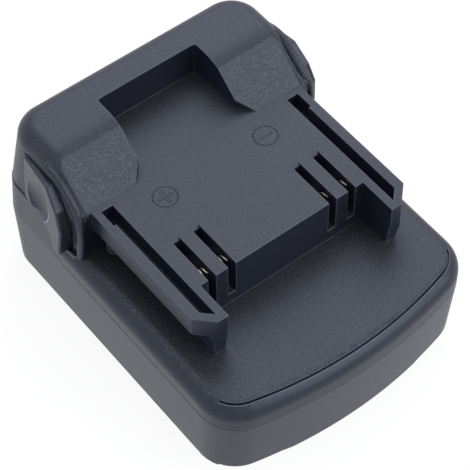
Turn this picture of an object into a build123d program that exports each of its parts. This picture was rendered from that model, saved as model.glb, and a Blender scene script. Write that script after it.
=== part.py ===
from build123d import *
import os

# Tool battery adapter. X across, Y from the front of the case to the tower, Z up.
# The origin is on the bottom of the case, in the middle of its length and width.

# Case
case_half_width = 38.0
case_length = 96.3
front_bulge = 5.8
front_corner_radius = 11.0
rear_corner_radius = 8.0
side_draft = 0.5
front_draft = 1.4
corner_lift = 0.6
corner_lift_half_width = 19.0
corner_lift_run = 3.0
parting_height = 18.8
rear_parting_rise = 10.9
rear_rise_inset = 0.55
parting_step_run = 2.0
parting_step_radius = 1.5
parting_groove = 0.4
deck_rise = 7.1
platform_rise = 14.1
tower_rise = 10.0
tower_foot_inset = 0.85
tower_foot_corner_radius = 7.25
tower_head_inset = 2.85
tower_head_corner_radius = 8.8
deck_edge_radius = 4.0
tower_edge_radius = 4.8
tower_front_radius = 2.4
wall = 2.6
floor_thickness = 2.2
deck_seam_inset = 2.2
deck_seam_width = 0.45
deck_seam_depth = 0.5
deck_seam_length = 11.0

# Platform and tower, with setbacks measured from the front of the case
platform_setback = 31.0
tower_setback = 63.4
slope_angle = 40.0
slope_blend_radius = 12.0
slope_recess = 0.6
slope_border = 3.4
bead_radius = 1.1
bead_half_width = 34.1
bead_drop = 1.8
bead_crown = 0.6
notch_half_width = 14.7
notch_rear_setback = 84.0
notch_flare_half_width = 19.0
notch_flare_run = 4.6
notch_corner_radius = 1.0

# Rails
web_foot_half_width = 27.4
web_top_half_width = 28.8
lip_half_width = 31.8
lip_height = 6.0
rail_inner_half_width = 24.4
rail_reach = 10.6
rail_tip_width = 3.0
rail_tip_draft = 1.2
pocket_inner_half_width = 26.5
pocket_width = 2.7
pocket_depth = 5.0
pocket_front_wall = 2.0
pocket_end_widening = 0.65
pocket_end_length = 5.2

# Contact slots
slot_width = 2.3
inner_slot_half_spacing = 15.15
outer_slot_half_spacing = 20.95
slot_length = 13.7
slot_depth = 10.8
slot_end_chamfer = 0.7

# Rooms inside the upper shell
mid_room_half_width = 22.5
centre_room_half_width = 12.0
side_room_half_width = 30.5
low_room_drop = 8.5
high_room_setback = 76.0
rear_room_half_width = 28.0
rear_room_drop = 4.0
rear_room_wall = 3.4

# Latches
latch_travel = 2.5
latch_clearance = 0.45
running_gap = 0.4
pad_inner_half_width = 35.3
pad_rear_half_width = 36.0
pad_front_half_width = 38.6
pad_draft = 4.5
pad_crown = 0.2
pad_front_setback = 66.5
pad_length = 18.0
pad_height = 19.1
pad_top_drop = 5.2
pad_rim_radius = 0.5
pad_top_corner_back = 6.6
pad_front_shoulder_back = 1.9
pad_front_shoulder_drop = 5.0
pad_lobe_length = 5.6
pad_lobe_rise = 4.5
pad_edge_radius = 0.6
dimple_half_length = 6.0
dimple_half_height = 6.4
dimple_depth = 1.5
dimple_back = 11.2
dimple_drop = 8.6
skin_half_width = 36.0
ledge_thickness = 2.0
stem_inner_half_width = 22.5
stem_width = 9.0
stem_height = 8.0
stem_back = 6.0
flange_thickness = 2.2
flange_margin_long = 2.2
flange_margin_high = 2.8
arm_inner_half_width = 23.2
arm_thickness = 2.3
arm_height = 4.4
arm_drop = 1.8
tooth_length = 7.0
tooth_lead = 5.5
tooth_height = 4.0
tooth_setback = 53.0

# Latch springs
spring_wire = 0.7
spring_radius = 2.2
spring_turns = 6
spring_wire_sides = 6
spring_pocket_radius = 3.1
spring_pocket_depth = 4.0
spring_rib_thickness = 2.0
spring_rib_half_spacing = 10.0
spring_rib_margin = 1.6
spring_post_radius = 1.6
spring_post_length = 3.0

# Tool side contacts
leaf_thickness = 0.4
leaf_height = 9.0
leaf_front_setback = 33.7
leaf_length = 10.4
leaf_end_offset = 0.65
leaf_pinch_offset = 0.2
leaf_base_rise = 0.3
foot_width = 1.9
foot_length = 4.4
foot_setback = 36.8
tail_drop = 2.4

# Contact carrier
carrier_half_width = 23.6
carrier_length = 10.2
carrier_height = 4.4
carrier_front_gap = 0.7
carrier_fit = 0.1
carrier_screw_half_spacing = 8.5

# Battery bay
bay_half_width = 31.5
bay_rail_half_width = 28.0
bay_rail_height = 5.0
bay_rail_lead = 2.5
bay_roof_height = 16.0
bay_front_wall = 10.0
front_hollow_wall = 2.8
catch_width = 24.0
catch_length = 8.0
catch_depth = 6.5
catch_setback = 79.5
catch_wall = 1.8

# Blade block and battery blades
blade_block_half_width = 18.5
blade_block_length = 11.0
blade_block_height = 11.0
blade_block_edge = 1.0
blade_half_spacing = 13.0
blade_thickness = 0.8
blade_height = 6.5
blade_length = 17.0
blade_drop = 1.6
blade_root = 8.5
blade_tip_chamfer = 0.25
blade_tip_taper = 1.6
tab_length = 3.0
tab_rise = 3.2
blade_screw_half_spacing = 5.5

# Screws
screw_radius = 1.5
screw_hole_play = 0.2
pilot_play = 0.02
screw_head_radius = 2.8
screw_head_height = 2.0
head_play = 0.3
seat_thickness = 1.8
boss_radius = 3.8
case_screw_half_spacing = 24.5
case_screw_front_setback = 17.5
case_screw_rear_setback = 88.5
case_screw_engagement = 8.0
small_screw_radius = 1.0
small_head_radius = 2.0
small_head_height = 1.4
small_boss_radius = 2.6
small_screw_engagement = 5.0

# Sense board
board_half_width = 11.0
board_length = 14.0
board_thickness = 1.4
board_setback = 49.0
board_drop = 8.8
board_screw_half_spacing = 8.0
chip_length = 5.0
chip_width = 4.0
chip_height = 1.3
resistor_length = 3.2
resistor_width = 1.6
resistor_height = 0.8
capacitor_radius = 2.5
capacitor_height = 4.5

# Leads
power_lead_radius = 1.0
sense_lead_radius = 0.6
lead_bend_radius = 3.6
power_lead_rise = 0.8
lead_sides = 8

# One length past every face that a cut runs through
overrun = 60.0

front_y = -0.5 * case_length
rear_y = 0.5 * case_length
deck_height = parting_height + deck_rise
platform_height = deck_height + platform_rise
tower_height = platform_height + tower_rise
rear_parting_height = parting_height + rear_parting_rise
platform_y = front_y + platform_setback
tower_y = front_y + tower_setback
notch_rear_y = front_y + notch_rear_setback
slot_floor = platform_height - slot_depth
lip_bottom = platform_height - lip_height
pocket_floor = platform_height - pocket_depth
bay_front_y = front_y + bay_front_wall
roof_top = bay_roof_height + floor_thickness
platform_ceiling = platform_height - wall
pad_top = tower_height - pad_top_drop
pad_front_y = front_y + pad_front_setback
pad_rear_y = pad_front_y + pad_length
pad_bottom = pad_top - pad_height
stem_front_y = pad_front_y + stem_back
stem_bottom = rear_parting_height + running_gap
stem_middle_y = stem_front_y + 0.5 * stem_width
stem_middle_z = stem_bottom + 0.5 * stem_height
carrier_top = slot_floor - floor_thickness
carrier_bottom = carrier_top - carrier_height
carrier_front_y = platform_y + wall + carrier_front_gap
foot_front_y = front_y + foot_setback
tail_bottom = carrier_bottom - tail_drop
arm_outer_half_width = arm_inner_half_width + arm_thickness
arm_room_half_width = arm_outer_half_width + running_gap
pocket_floor_half_width = pad_inner_half_width - latch_travel - running_gap
step_start_y = tower_y + 0.35 * slope_border + notch_flare_run


def block(x0, x1, y0, y1, z0, z1):
    """A box between two corners."""
    size = (x1 - x0, y1 - y0, z1 - z0)
    middle = (0.5 * (x0 + x1), 0.5 * (y0 + y1), 0.5 * (z0 + z1))
    return Pos(*middle) * Box(*size)


def rod(radius, x, y, z0, z1):
    """An upright cylinder."""
    return Pos(x, y, 0.5 * (z0 + z1)) * Cylinder(radius, z1 - z0)


def both_sides(shape):
    """The shape and its mirror image across the middle of the case."""
    return shape + mirror(shape, about=Plane.YZ)


def case_face(side_inset, front_inset, rear_inset, rear_radius):
    """The plan of the case, with its bulged front and round corners."""
    half = case_half_width - side_inset
    front_side = front_y + front_bulge + front_inset
    rear = rear_y - rear_inset
    front = ThreePointArc((-half, front_side), (0, front_y + front_inset), (half, front_side))
    rest = Polyline((half, front_side), (half, rear), (-half, rear), (-half, front_side))
    face = make_face([front, rest])
    front_corners = face.vertices().sort_by(Axis.Y)[0:2]
    face = fillet(front_corners, front_corner_radius - side_inset)
    rear_corners = face.vertices().sort_by(Axis.Y)[-2:]
    return fillet(rear_corners, rear_radius)


def case_prism(inset, z0, z1):
    """The plan of the case, shrunk all round and pulled up between two heights."""
    plan = case_face(inset, inset, inset, rear_corner_radius - inset)
    return extrude(Pos(0, 0, z0) * plan, amount=z1 - z0)


def across(points, radii):
    """A side view outline, pulled out across the whole case, with round corners."""
    outline = Polyline(*points, close=True)
    face = make_face(outline)
    for corner, radius in radii.items():
        near = face.vertices().sort_by_distance(points[corner])[0]
        face = fillet(near, radius)
    return extrude(Plane.YZ * face, amount=overrun, both=True)


def parting_path():
    """The stepped line between the two shells, from front to rear."""
    step_end_y = step_start_y + parting_step_run
    return [
        (-overrun, parting_height),
        (step_start_y, parting_height),
        (step_end_y, rear_parting_height),
        (overrun, rear_parting_height),
    ]


def below_parting():
    """Everything under the parting line."""
    points = parting_path() + [(overrun, -overrun), (-overrun, -overrun)]
    return across(points, {1: parting_step_radius, 2: parting_step_radius})


def latch_opening():
    """The pocket that one latch pad moves in."""
    grown = Plane.YZ * pad_profile(latch_clearance)
    return extrude(Pos(pocket_floor_half_width, 0, 0) * grown, amount=overrun)


def parting_shadow():
    """The narrow groove that runs round the case along the parting line."""
    half = 0.5 * parting_groove
    upper = [(y, z + half) for y, z in parting_path()]
    lower = [(y, z - half) for y, z in reversed(parting_path())]
    strip = across(upper + lower, {})
    core = case_prism(parting_groove, 0, tower_height)
    return strip - core


def rail_flange_plan():
    """The plan of one rail's top, with its tapered tip."""
    tip_y = platform_y - rail_reach
    tip_x = rail_inner_half_width + rail_tip_width
    taper = lip_half_width - tip_x
    outline = Polyline(
        (rail_inner_half_width, tip_y),
        (tip_x, tip_y),
        (lip_half_width, tip_y + taper),
        (lip_half_width, tower_y + wall),
        (rail_inner_half_width, tower_y + wall),
        close=True,
    )
    return make_face(outline)


def rail_pocket_plan():
    """The plan of the long open pocket in one rail."""
    tip_y = platform_y - rail_reach
    front_inner_y = tip_y + pocket_front_wall
    pocket_outer = pocket_inner_half_width + pocket_width
    wide = pocket_outer + pocket_end_widening
    end_y = tower_y - 0.5 * pocket_front_wall
    outline = Polyline(
        (pocket_inner_half_width, front_inner_y),
        (pocket_outer, front_inner_y + pocket_width),
        (pocket_outer, end_y - pocket_end_length),
        (wide, end_y - pocket_end_length),
        (wide, end_y),
        (pocket_inner_half_width, end_y),
        close=True,
    )
    return make_face(outline)


def rail():
    """One rail: a tapered web under a wide lip, open along its top."""
    flange = extrude(Pos(0, 0, lip_bottom) * rail_flange_plan(), amount=lip_height)
    tip_y = platform_y - rail_reach
    section = Polyline(
        (rail_inner_half_width, deck_height - wall),
        (web_foot_half_width, deck_height - wall),
        (web_foot_half_width, deck_height),
        (web_top_half_width, lip_bottom),
        (web_top_half_width, lip_bottom + wall),
        (rail_inner_half_width, lip_bottom + wall),
        close=True,
    )
    across_rail = Plane(origin=(0, tower_y + wall, 0), x_dir=(1, 0, 0), z_dir=(0, -1, 0))
    web_length = tower_y + wall - tip_y
    web = extrude(across_rail * make_face(section), amount=web_length, dir=(0, -1, 0))
    web = web & extrude(rail_flange_plan(), amount=platform_height)
    body = flange + web
    pocket = extrude(Pos(0, 0, pocket_floor) * rail_pocket_plan(), amount=overrun)
    slant = [
        (tip_y - overrun, deck_height),
        (tip_y + rail_tip_draft, deck_height),
        (tip_y, lip_bottom + rail_tip_draft),
        (tip_y - overrun, lip_bottom + rail_tip_draft),
    ]
    return body - pocket - across(slant, {})


def slope_point(height):
    """Where the tower's slope reaches a height above the platform."""
    rise = height - platform_height
    run = rise / tan_of(slope_angle)
    return (tower_y + run, height)


def tan_of(angle):
    """The tangent of an angle in degrees, from a unit vector."""
    ray = Vector(1, 0, 0).rotate(Axis.Z, angle)
    return ray.Y / ray.X


def tower_block():
    """The tower, full width, with its sloping front and round top."""
    foot_inset = tower_foot_inset
    head_inset = tower_head_inset
    foot = case_face(foot_inset, foot_inset, foot_inset, tower_foot_corner_radius)
    head = case_face(head_inset, head_inset, head_inset, tower_head_corner_radius)
    foot = Pos(0, 0, rear_parting_height) * foot
    tall = loft([foot, Pos(0, 0, tower_height) * head], ruled=True)
    low = extrude(foot, amount=parting_height - rear_parting_height)
    profile = [
        (tower_y, 0),
        (tower_y, platform_height),
        slope_point(tower_height),
        (rear_y + overrun, tower_height),
        (rear_y + overrun, 0),
    ]
    outside = across(profile, {2: slope_blend_radius})
    top = tall & outside
    top = fillet(tower_rim(top), tower_edge_radius)
    tower = top + (low & outside)
    return fillet(tower_front_edges(tower), tower_front_radius)


def tower_rim(tower):
    """The edges round the tower's top and down both sides of its slope."""
    edges = []
    for edge in tower.edges():
        start, end = edge @ 0, edge @ 1
        over_front = start.X * end.X < 0 and (edge @ 0.5).Y < notch_rear_y
        is_high = min(start.Z, end.Z) > platform_height - 0.1 * wall
        if is_high and not over_front:
            edges.append(edge)
    return edges


def tower_front_edges(tower):
    """The upright edges at the tower's front, on both sides."""
    edges = []
    for edge in tower.edges():
        start, end = edge @ 0, edge @ 1
        at_front = max(start.Y, end.Y) < tower_y + 0.1 * wall
        if at_front and abs(start.Z - end.Z) > wall:
            edges.append(edge)
    return edges


def slope_bead():
    """The round bead down the side of the slope, which sinks into the tower's top."""
    foot_y, foot_z = slope_point(platform_height + bead_radius)
    head_y, head_z = slope_point(tower_height)
    foot_z -= bead_drop
    head_y += 1.5 * bead_radius
    head_z -= bead_drop + 0.7 * bead_radius
    foot = (bead_half_width, foot_y, foot_z)
    middle = (bead_half_width, 0.5 * (foot_y + head_y), 0.5 * (foot_z + head_z) + bead_crown)
    line = ThreePointArc(foot, middle, (bead_half_width, head_y, head_z))
    section = Plane(origin=line @ 0, z_dir=line % 0) * Circle(bead_radius)
    return sweep(section, path=line) + Pos(*foot) * Sphere(bead_radius)


def deck_block():
    """The low front of the upper shell, with its rounded upper edge."""
    low = case_prism(0, parting_height, deck_height)
    top_loop = low.faces().sort_by(Axis.Z)[-1].edges()
    return fillet(top_loop, min(deck_edge_radius, 0.9 * deck_rise))


def deck_seam():
    """The fine groove along the deck's front edge and round its corners."""
    outer = case_prism(deck_seam_inset, parting_height, tower_height)
    inner = case_prism(deck_seam_inset + deck_seam_width, parting_height, tower_height)
    drop = deck_edge_radius - (deck_edge_radius**2 - (deck_edge_radius - deck_seam_inset)**2)**0.5
    base = deck_height - drop - deck_seam_depth
    end_y = front_y + deck_seam_length
    reach = block(-overrun, overrun, front_y - overrun, end_y, base, tower_height)
    return (outer - inner) & reach


def notch():
    """The recess in the tower that the tool's foot enters."""
    flare_y = tower_y + notch_flare_run
    outline = Polyline(
        (-notch_half_width, notch_rear_y),
        (-notch_half_width, flare_y),
        (-notch_flare_half_width, tower_y),
        (-notch_flare_half_width, tower_y - wall),
        (notch_flare_half_width, tower_y - wall),
        (notch_flare_half_width, tower_y),
        (notch_half_width, flare_y),
        (notch_half_width, notch_rear_y),
        close=True,
    )
    face = make_face(outline)
    rear = face.vertices().sort_by(Axis.Y)[-2:]
    face = fillet(rear, notch_corner_radius)
    return extrude(Pos(0, 0, platform_height) * face, amount=overrun)


def slope_panel():
    """The shallow recess of the sloping front between its side borders."""
    half = skin_half_width - slope_border
    foot_y = tower_y + slope_recess / tan_of(slope_angle)
    head_y, head_z = slope_point(tower_height + overrun)
    profile = [
        (foot_y, platform_height),
        (head_y + slope_recess / tan_of(slope_angle), head_z),
        (tower_y, head_z),
        (tower_y, platform_height),
    ]
    return across(profile, {}) & block(-half, half, tower_y, rear_y, platform_height, overrun)


def slots():
    """The four contact slots, open at the front and the top."""
    cuts = []
    for spacing in (inner_slot_half_spacing, outer_slot_half_spacing):
        x0 = spacing - 0.5 * slot_width
        x1 = spacing + 0.5 * slot_width
        end_y = platform_y + slot_length
        cut = block(x0, x1, platform_y - wall, end_y, slot_floor, overrun)
        ease = Pos(spacing, end_y, platform_height) * Rot(45, 0, 0)
        side = slot_end_chamfer * 2**0.5
        cut += ease * Box(slot_width, side, side)
        cuts.append(cut)
    return both_sides(cuts[0] + cuts[1])


def pad_profile(gap):
    """The side view of a latch pad, grown by a gap for its pocket."""
    shoulder_y = pad_front_y + pad_front_shoulder_back
    shoulder_z = pad_top - pad_front_shoulder_drop
    lobe_y = pad_front_y + pad_lobe_length
    points = [
        (pad_rear_y, pad_top),
        (pad_front_y + pad_top_corner_back, pad_top),
        (shoulder_y, shoulder_z),
        (pad_front_y, shoulder_z - pad_front_shoulder_drop),
        (pad_front_y + 0.3 * pad_front_shoulder_back, pad_bottom),
        (lobe_y - pad_lobe_rise * 0.5, pad_bottom),
        (lobe_y, pad_bottom + pad_lobe_rise),
        (pad_rear_y, pad_bottom + pad_lobe_rise),
    ]
    face = make_face(Polyline(*points, close=True))
    for corner in range(1, len(points) - 1):
        near = face.vertices().sort_by_distance(points[corner])[0]
        face = fillet(near, pad_edge_radius * 2)
    if gap > 0:
        face = offset(face, amount=gap)
    return face


def latch_pocket():
    """The opening for one latch pad, the open side in front of it and the stem's window."""
    pocket = latch_opening()
    profile_top = pad_top + latch_clearance
    side_open = block(
        skin_half_width, overrun,
        tower_y - overrun, pad_front_y + pad_top_corner_back,
        deck_height, profile_top,
    )
    front_low = pad_front_y + pad_lobe_length
    side_open -= block(0, overrun, front_low, rear_y, 0, pad_bottom + pad_lobe_rise)
    window = block(
        side_room_half_width - wall, pocket_floor_half_width + wall,
        stem_front_y - running_gap, stem_front_y + stem_width + running_gap,
        rear_parting_height - wall, stem_bottom + stem_height + running_gap,
    )
    return pocket + side_open + window


def upper_rooms():
    """The hollow inside of the upper shell."""
    rooms = case_prism(wall, parting_height - overrun, deck_height - wall)
    carrier_end = carrier_front_y + carrier_length + carrier_front_gap
    carrier_room_front = carrier_front_y - carrier_front_gap
    slot_end = platform_y + slot_length + floor_thickness
    low_ceiling = tower_height - low_room_drop
    room_start_y = tower_y + 2.4 * wall
    inner_rear_y = rear_y - rear_room_wall
    side_inner = notch_half_width + floor_thickness
    arm_ceiling = arm_bottom() + arm_height + running_gap
    rooms += block(
        -carrier_half_width - carrier_fit, carrier_half_width + carrier_fit,
        carrier_room_front, carrier_end, parting_height, carrier_top,
    )
    rooms += block(
        -centre_room_half_width, centre_room_half_width,
        carrier_room_front, slot_end, parting_height, platform_ceiling,
    )
    rooms += block(
        -mid_room_half_width, mid_room_half_width,
        slot_end, inner_rear_y, parting_height, platform_ceiling,
    )
    rooms += block(
        -arm_room_half_width, arm_room_half_width,
        slot_end + floor_thickness, room_start_y + wall, parting_height, arm_ceiling,
    )
    side_low = block(
        side_inner, side_room_half_width,
        room_start_y, inner_rear_y, parting_height, low_ceiling,
    )
    side_high = block(
        side_inner, side_room_half_width - wall,
        front_y + high_room_setback, inner_rear_y - wall, parting_height, tower_height - wall,
    )
    rooms += both_sides(side_low + side_high)
    rooms += block(
        -rear_room_half_width, rear_room_half_width,
        notch_rear_y + floor_thickness, inner_rear_y,
        parting_height, tower_height - rear_room_drop,
    )
    return rooms


def case_screw_places():
    """Where the four case screws stand."""
    places = []
    for y in (front_y + case_screw_front_setback, front_y + case_screw_rear_setback):
        for side in (-1, 1):
            places.append((side * case_screw_half_spacing, y))
    return places


def carrier_screw_places():
    """Where the two carrier screws stand."""
    y = carrier_front_y + 0.5 * carrier_length
    return [(side * carrier_screw_half_spacing, y) for side in (-1, 1)]


def board_screw_places():
    """Where the two board screws stand."""
    y = front_y + board_setback + 0.5 * board_length
    return [(side * board_screw_half_spacing, y) for side in (-1, 1)]


def blade_screw_places():
    """Where the two blade block screws stand."""
    y = bay_front_y + 0.5 * blade_block_length
    return [(side * blade_screw_half_spacing, y) for side in (-1, 1)]


def seat_top():
    """The height at which the two shells' screw bosses meet."""
    return bay_roof_height + screw_head_height + head_play + seat_thickness


def spring_ribs():
    """The two ribs under the platform that the springs push on, with their posts."""
    x1 = spring_rib_half_spacing + spring_rib_thickness
    bottom = stem_middle_z - spring_pocket_radius - spring_rib_margin
    rib = block(
        spring_rib_half_spacing, x1,
        stem_middle_y - spring_pocket_radius - spring_rib_margin,
        stem_middle_y + spring_pocket_radius + spring_rib_margin,
        bottom, platform_ceiling + 0.5 * wall,
    )
    post = Pos(x1 + 0.5 * spring_post_length, stem_middle_y, stem_middle_z) * Rot(0, 90, 0)
    rib += post * Cylinder(spring_post_radius, spring_post_length)
    return both_sides(rib)


def upper_bosses():
    """The screw bosses and board posts that hang inside the upper shell."""
    hanging = []
    front_screws_y = front_y + case_screw_front_setback
    for x, y in case_screw_places():
        ceiling = deck_height - 0.5 * wall
        if y > front_screws_y:
            ceiling = tower_height - rear_room_drop + 0.3 * wall
        hanging.append(rod(boss_radius, x, y, seat_top(), ceiling))
    for x, y in carrier_screw_places():
        hanging.append(rod(small_boss_radius, x, y, carrier_top, platform_ceiling + 0.5 * wall))
    for x, y in board_screw_places():
        post_foot = platform_ceiling - board_drop + board_thickness
        hanging.append(rod(small_boss_radius, x, y, post_foot, platform_ceiling + 0.5 * wall))
    return hanging


def upper_pilots():
    """The screw holes in the upper shell's bosses."""
    holes = []
    for x, y in case_screw_places():
        top = seat_top() + case_screw_engagement_at(y)
        holes.append(rod(screw_radius + pilot_play, x, y, seat_top() - wall, top))
    for x, y in carrier_screw_places():
        top = carrier_top + small_screw_engagement
        holes.append(rod(small_screw_radius + pilot_play, x, y, carrier_top - wall, top))
    for x, y in board_screw_places():
        foot = platform_ceiling - board_drop + board_thickness
        holes.append(rod(small_screw_radius + pilot_play, x, y, foot - wall, foot + small_screw_engagement))
    return holes


def case_screw_engagement_at(y):
    """How deep a case screw reaches: the front bosses are short."""
    short = deck_height - seat_top() - 0.6 * wall
    return min(case_screw_engagement, short) if y < 0 else case_screw_engagement


def contact_slits():
    """The slits in the slot floors that the contact feet pass."""
    slits = []
    for spacing in (inner_slot_half_spacing, outer_slot_half_spacing):
        half = 0.5 * foot_width + carrier_fit
        slits.append(block(
            spacing - half, spacing + half,
            foot_front_y - carrier_fit, foot_front_y + foot_length + carrier_fit,
            carrier_bottom - wall, slot_floor + leaf_base_rise,
        ))
    return both_sides(slits[0] + slits[1])


def tooth_window():
    """The window in the rail's web that a latch tooth comes through."""
    y0 = front_y + tooth_setback - running_gap
    y1 = y0 + tooth_length + 2 * running_gap
    z0 = arm_bottom() - running_gap
    return block(
        arm_room_half_width - wall, web_top_half_width + wall,
        y0, y1, z0, arm_bottom() + tooth_height + running_gap,
    )


def arm_bottom():
    """The underside of a latch arm."""
    return stem_bottom - arm_drop


def tooth_tip_half_width():
    """Where a tooth ends: it stands out of the rail's web by the latch travel."""
    height = arm_bottom() + 0.5 * tooth_height
    share_up = (height - deck_height) / (lip_bottom - deck_height)
    web_face = web_foot_half_width + share_up * (web_top_half_width - web_foot_half_width)
    return web_face + latch_travel


def upper_shell():
    """The whole upper moulding."""
    platform = block(
        -rail_inner_half_width, rail_inner_half_width,
        platform_y, tower_y + wall, deck_height - wall, platform_height,
    )
    shell = deck_block() + tower_block() + platform + both_sides(rail())
    shell -= notch()
    shell -= slope_panel()
    shell += both_sides(slope_bead())
    shell -= slots()
    shell -= both_sides(latch_pocket())
    shell -= deck_seam()
    shell -= upper_rooms()
    for piece in upper_bosses():
        shell += piece
    shell += spring_ribs()
    for hole in upper_pilots():
        shell -= hole
    shell -= contact_slits()
    shell -= both_sides(tooth_window())
    shell -= below_parting()
    shell -= parting_shadow()
    return shell


def bay():
    """The space that the second battery slides into, from the rear."""
    lower_part = block(
        -bay_rail_half_width, bay_rail_half_width,
        bay_front_y, rear_y + overrun, -overrun, bay_rail_height,
    )
    upper_part = block(
        -bay_half_width, bay_half_width,
        bay_front_y, rear_y + overrun, bay_rail_height, bay_roof_height,
    )
    room = lower_part + upper_part
    lead = Polyline(
        (bay_rail_half_width - wall, rear_y - bay_rail_lead),
        (bay_rail_half_width, rear_y - bay_rail_lead),
        (bay_rail_half_width + bay_rail_lead, rear_y),
        (bay_rail_half_width + bay_rail_lead, rear_y + wall),
        (bay_rail_half_width - wall, rear_y + wall),
        close=True,
    )
    ease = extrude(make_face(lead), amount=bay_rail_height + 0.1 * wall)
    return room + both_sides(ease)


def catch():
    """The recess in the bay's roof that the battery's latch clicks into."""
    y0 = front_y + catch_setback - 0.5 * catch_length
    y1 = y0 + catch_length
    half = 0.5 * catch_width
    return block(-half, half, y0, y1, bay_roof_height - wall, bay_roof_height + catch_depth)


def catch_cup():
    """The walls round the catch recess."""
    y0 = front_y + catch_setback - 0.5 * catch_length - catch_wall
    y1 = y0 + catch_length + 2 * catch_wall
    half = 0.5 * catch_width + catch_wall
    return block(-half, half, y0, y1, bay_roof_height, bay_roof_height + catch_depth + catch_wall)


def lower_outside():
    """The outside of the lower shell: tapered below, straight beside the tower."""
    foot = case_face(side_draft, front_draft, side_draft, rear_corner_radius)
    middle = Pos(0, 0, parting_height) * case_face(0, 0, 0, rear_corner_radius)
    inset = rear_rise_inset
    rim = Pos(0, 0, rear_parting_height) * case_face(inset, inset, inset, rear_corner_radius)
    body = loft([foot, middle], ruled=True) + loft([middle, rim], ruled=True)
    return (body & below_parting()) - both_sides(corner_relief())


def corner_relief():
    """The shallow rise of the lower edge towards one front corner."""
    end_x = corner_lift_half_width + corner_lift_run
    outline = Polyline(
        (corner_lift_half_width, 0),
        (end_x, corner_lift),
        (end_x + overrun, corner_lift),
        (end_x + overrun, -overrun),
        (corner_lift_half_width, -overrun),
        close=True,
    )
    rear = Plane(origin=(0, bay_front_y, 0), x_dir=(1, 0, 0), z_dir=(0, -1, 0))
    return extrude(rear * make_face(outline), amount=overrun)


def lower_rooms():
    """The hollow inside of the lower shell above the bay and in its front wall."""
    above = case_prism(wall, roof_top, rear_parting_height - ledge_thickness)
    ledge_room = block(
        -side_room_half_width, side_room_half_width,
        front_y, rear_y - wall, roof_top, rear_parting_height + wall,
    )
    middle = case_prism(wall, roof_top, rear_parting_height + wall) & ledge_room
    front_outer = case_prism(front_hollow_wall + front_draft, wall, roof_top + wall)
    front_zone = block(
        -overrun, overrun,
        front_y - wall, bay_front_y - floor_thickness, 0, overrun,
    )
    return above + middle + (front_outer & front_zone)


def lower_shell():
    """The whole lower moulding."""
    shell = lower_outside() - lower_rooms()
    for x, y in case_screw_places():
        shell += rod(boss_radius, x, y, bay_roof_height, seat_top())
    roof_boss_top = roof_top + small_screw_engagement * 0.5
    for x, y in blade_screw_places():
        shell += rod(small_boss_radius, x, y, bay_roof_height, roof_boss_top)
    shell += catch_cup()
    shell -= both_sides(latch_opening())
    shell -= bay()
    shell -= catch()
    for x, y in case_screw_places():
        head_top = bay_roof_height + screw_head_height + head_play
        shell -= rod(screw_head_radius + head_play, x, y, bay_roof_height - wall, head_top)
        shell -= rod(screw_radius + screw_hole_play, x, y, head_top - wall * 0.1, seat_top() + wall)
    for x, y in blade_screw_places():
        pilot_top = roof_boss_top - 0.3 * wall
        shell -= rod(small_screw_radius + pilot_play, x, y, bay_roof_height - wall, pilot_top)
    for side in (-1, 1):
        x = side * blade_half_spacing
        half = 0.5 * blade_thickness + carrier_fit
        tab_front = blade_tab_front()
        shell -= block(
            x - half, x + half,
            tab_front - carrier_fit, tab_front + tab_length + carrier_fit,
            bay_roof_height - wall, roof_top + wall,
        )
    shell -= parting_shadow()
    return shell


def blade_tab_front():
    """The front of a blade's tab, above the blade block."""
    return bay_front_y + 0.5 * (blade_block_length - tab_length)


def spring_axis_start():
    """Where a latch spring rests against its rib."""
    return spring_rib_half_spacing + spring_rib_thickness


def pad_lean(height):
    """How far the pad's outer face stands out at a height, against its top."""
    return (pad_top - height) * tan_of(pad_draft)


def pad_plan(height):
    """The plan of a latch pad at a height, with its bowed outer side."""
    rear_half = pad_rear_half_width + pad_lean(height)
    front_half = pad_front_half_width + pad_lean(height)
    rear_corner = (rear_half, pad_rear_y + wall)
    front_corner = (front_half, pad_front_y)
    middle = (0.5 * (rear_half + front_half) + pad_crown, 0.5 * (pad_rear_y + pad_front_y))
    outer = ThreePointArc(rear_corner, middle, front_corner)
    rest = Polyline(
        front_corner,
        (front_half, pad_front_y - wall),
        (pad_inner_half_width, pad_front_y - wall),
        (pad_inner_half_width, pad_rear_y + wall),
        rear_corner,
    )
    return Pos(0, 0, height) * make_face([outer, rest])


def finger_pad():
    """The pad of one latch, leaning outward below, with a hollow for the fingertip."""
    low = pad_bottom - wall
    high = pad_top + wall
    side = extrude(Plane.YZ * pad_profile(0), amount=overrun)
    pad = loft([pad_plan(low), pad_plan(high)], ruled=True) & side
    pad = fillet(pad.faces().sort_by(Axis.X)[-1].edges(), pad_rim_radius)
    share_back = dimple_back / (pad_length + wall)
    narrowing = share_back * (pad_front_half_width - pad_rear_half_width)
    dimple_z = pad_top - dimple_drop
    dimple_x = pad_front_half_width - narrowing + pad_crown + pad_lean(dimple_z)
    return pad - dimple((dimple_x, pad_front_y + dimple_back, dimple_z))


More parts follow.
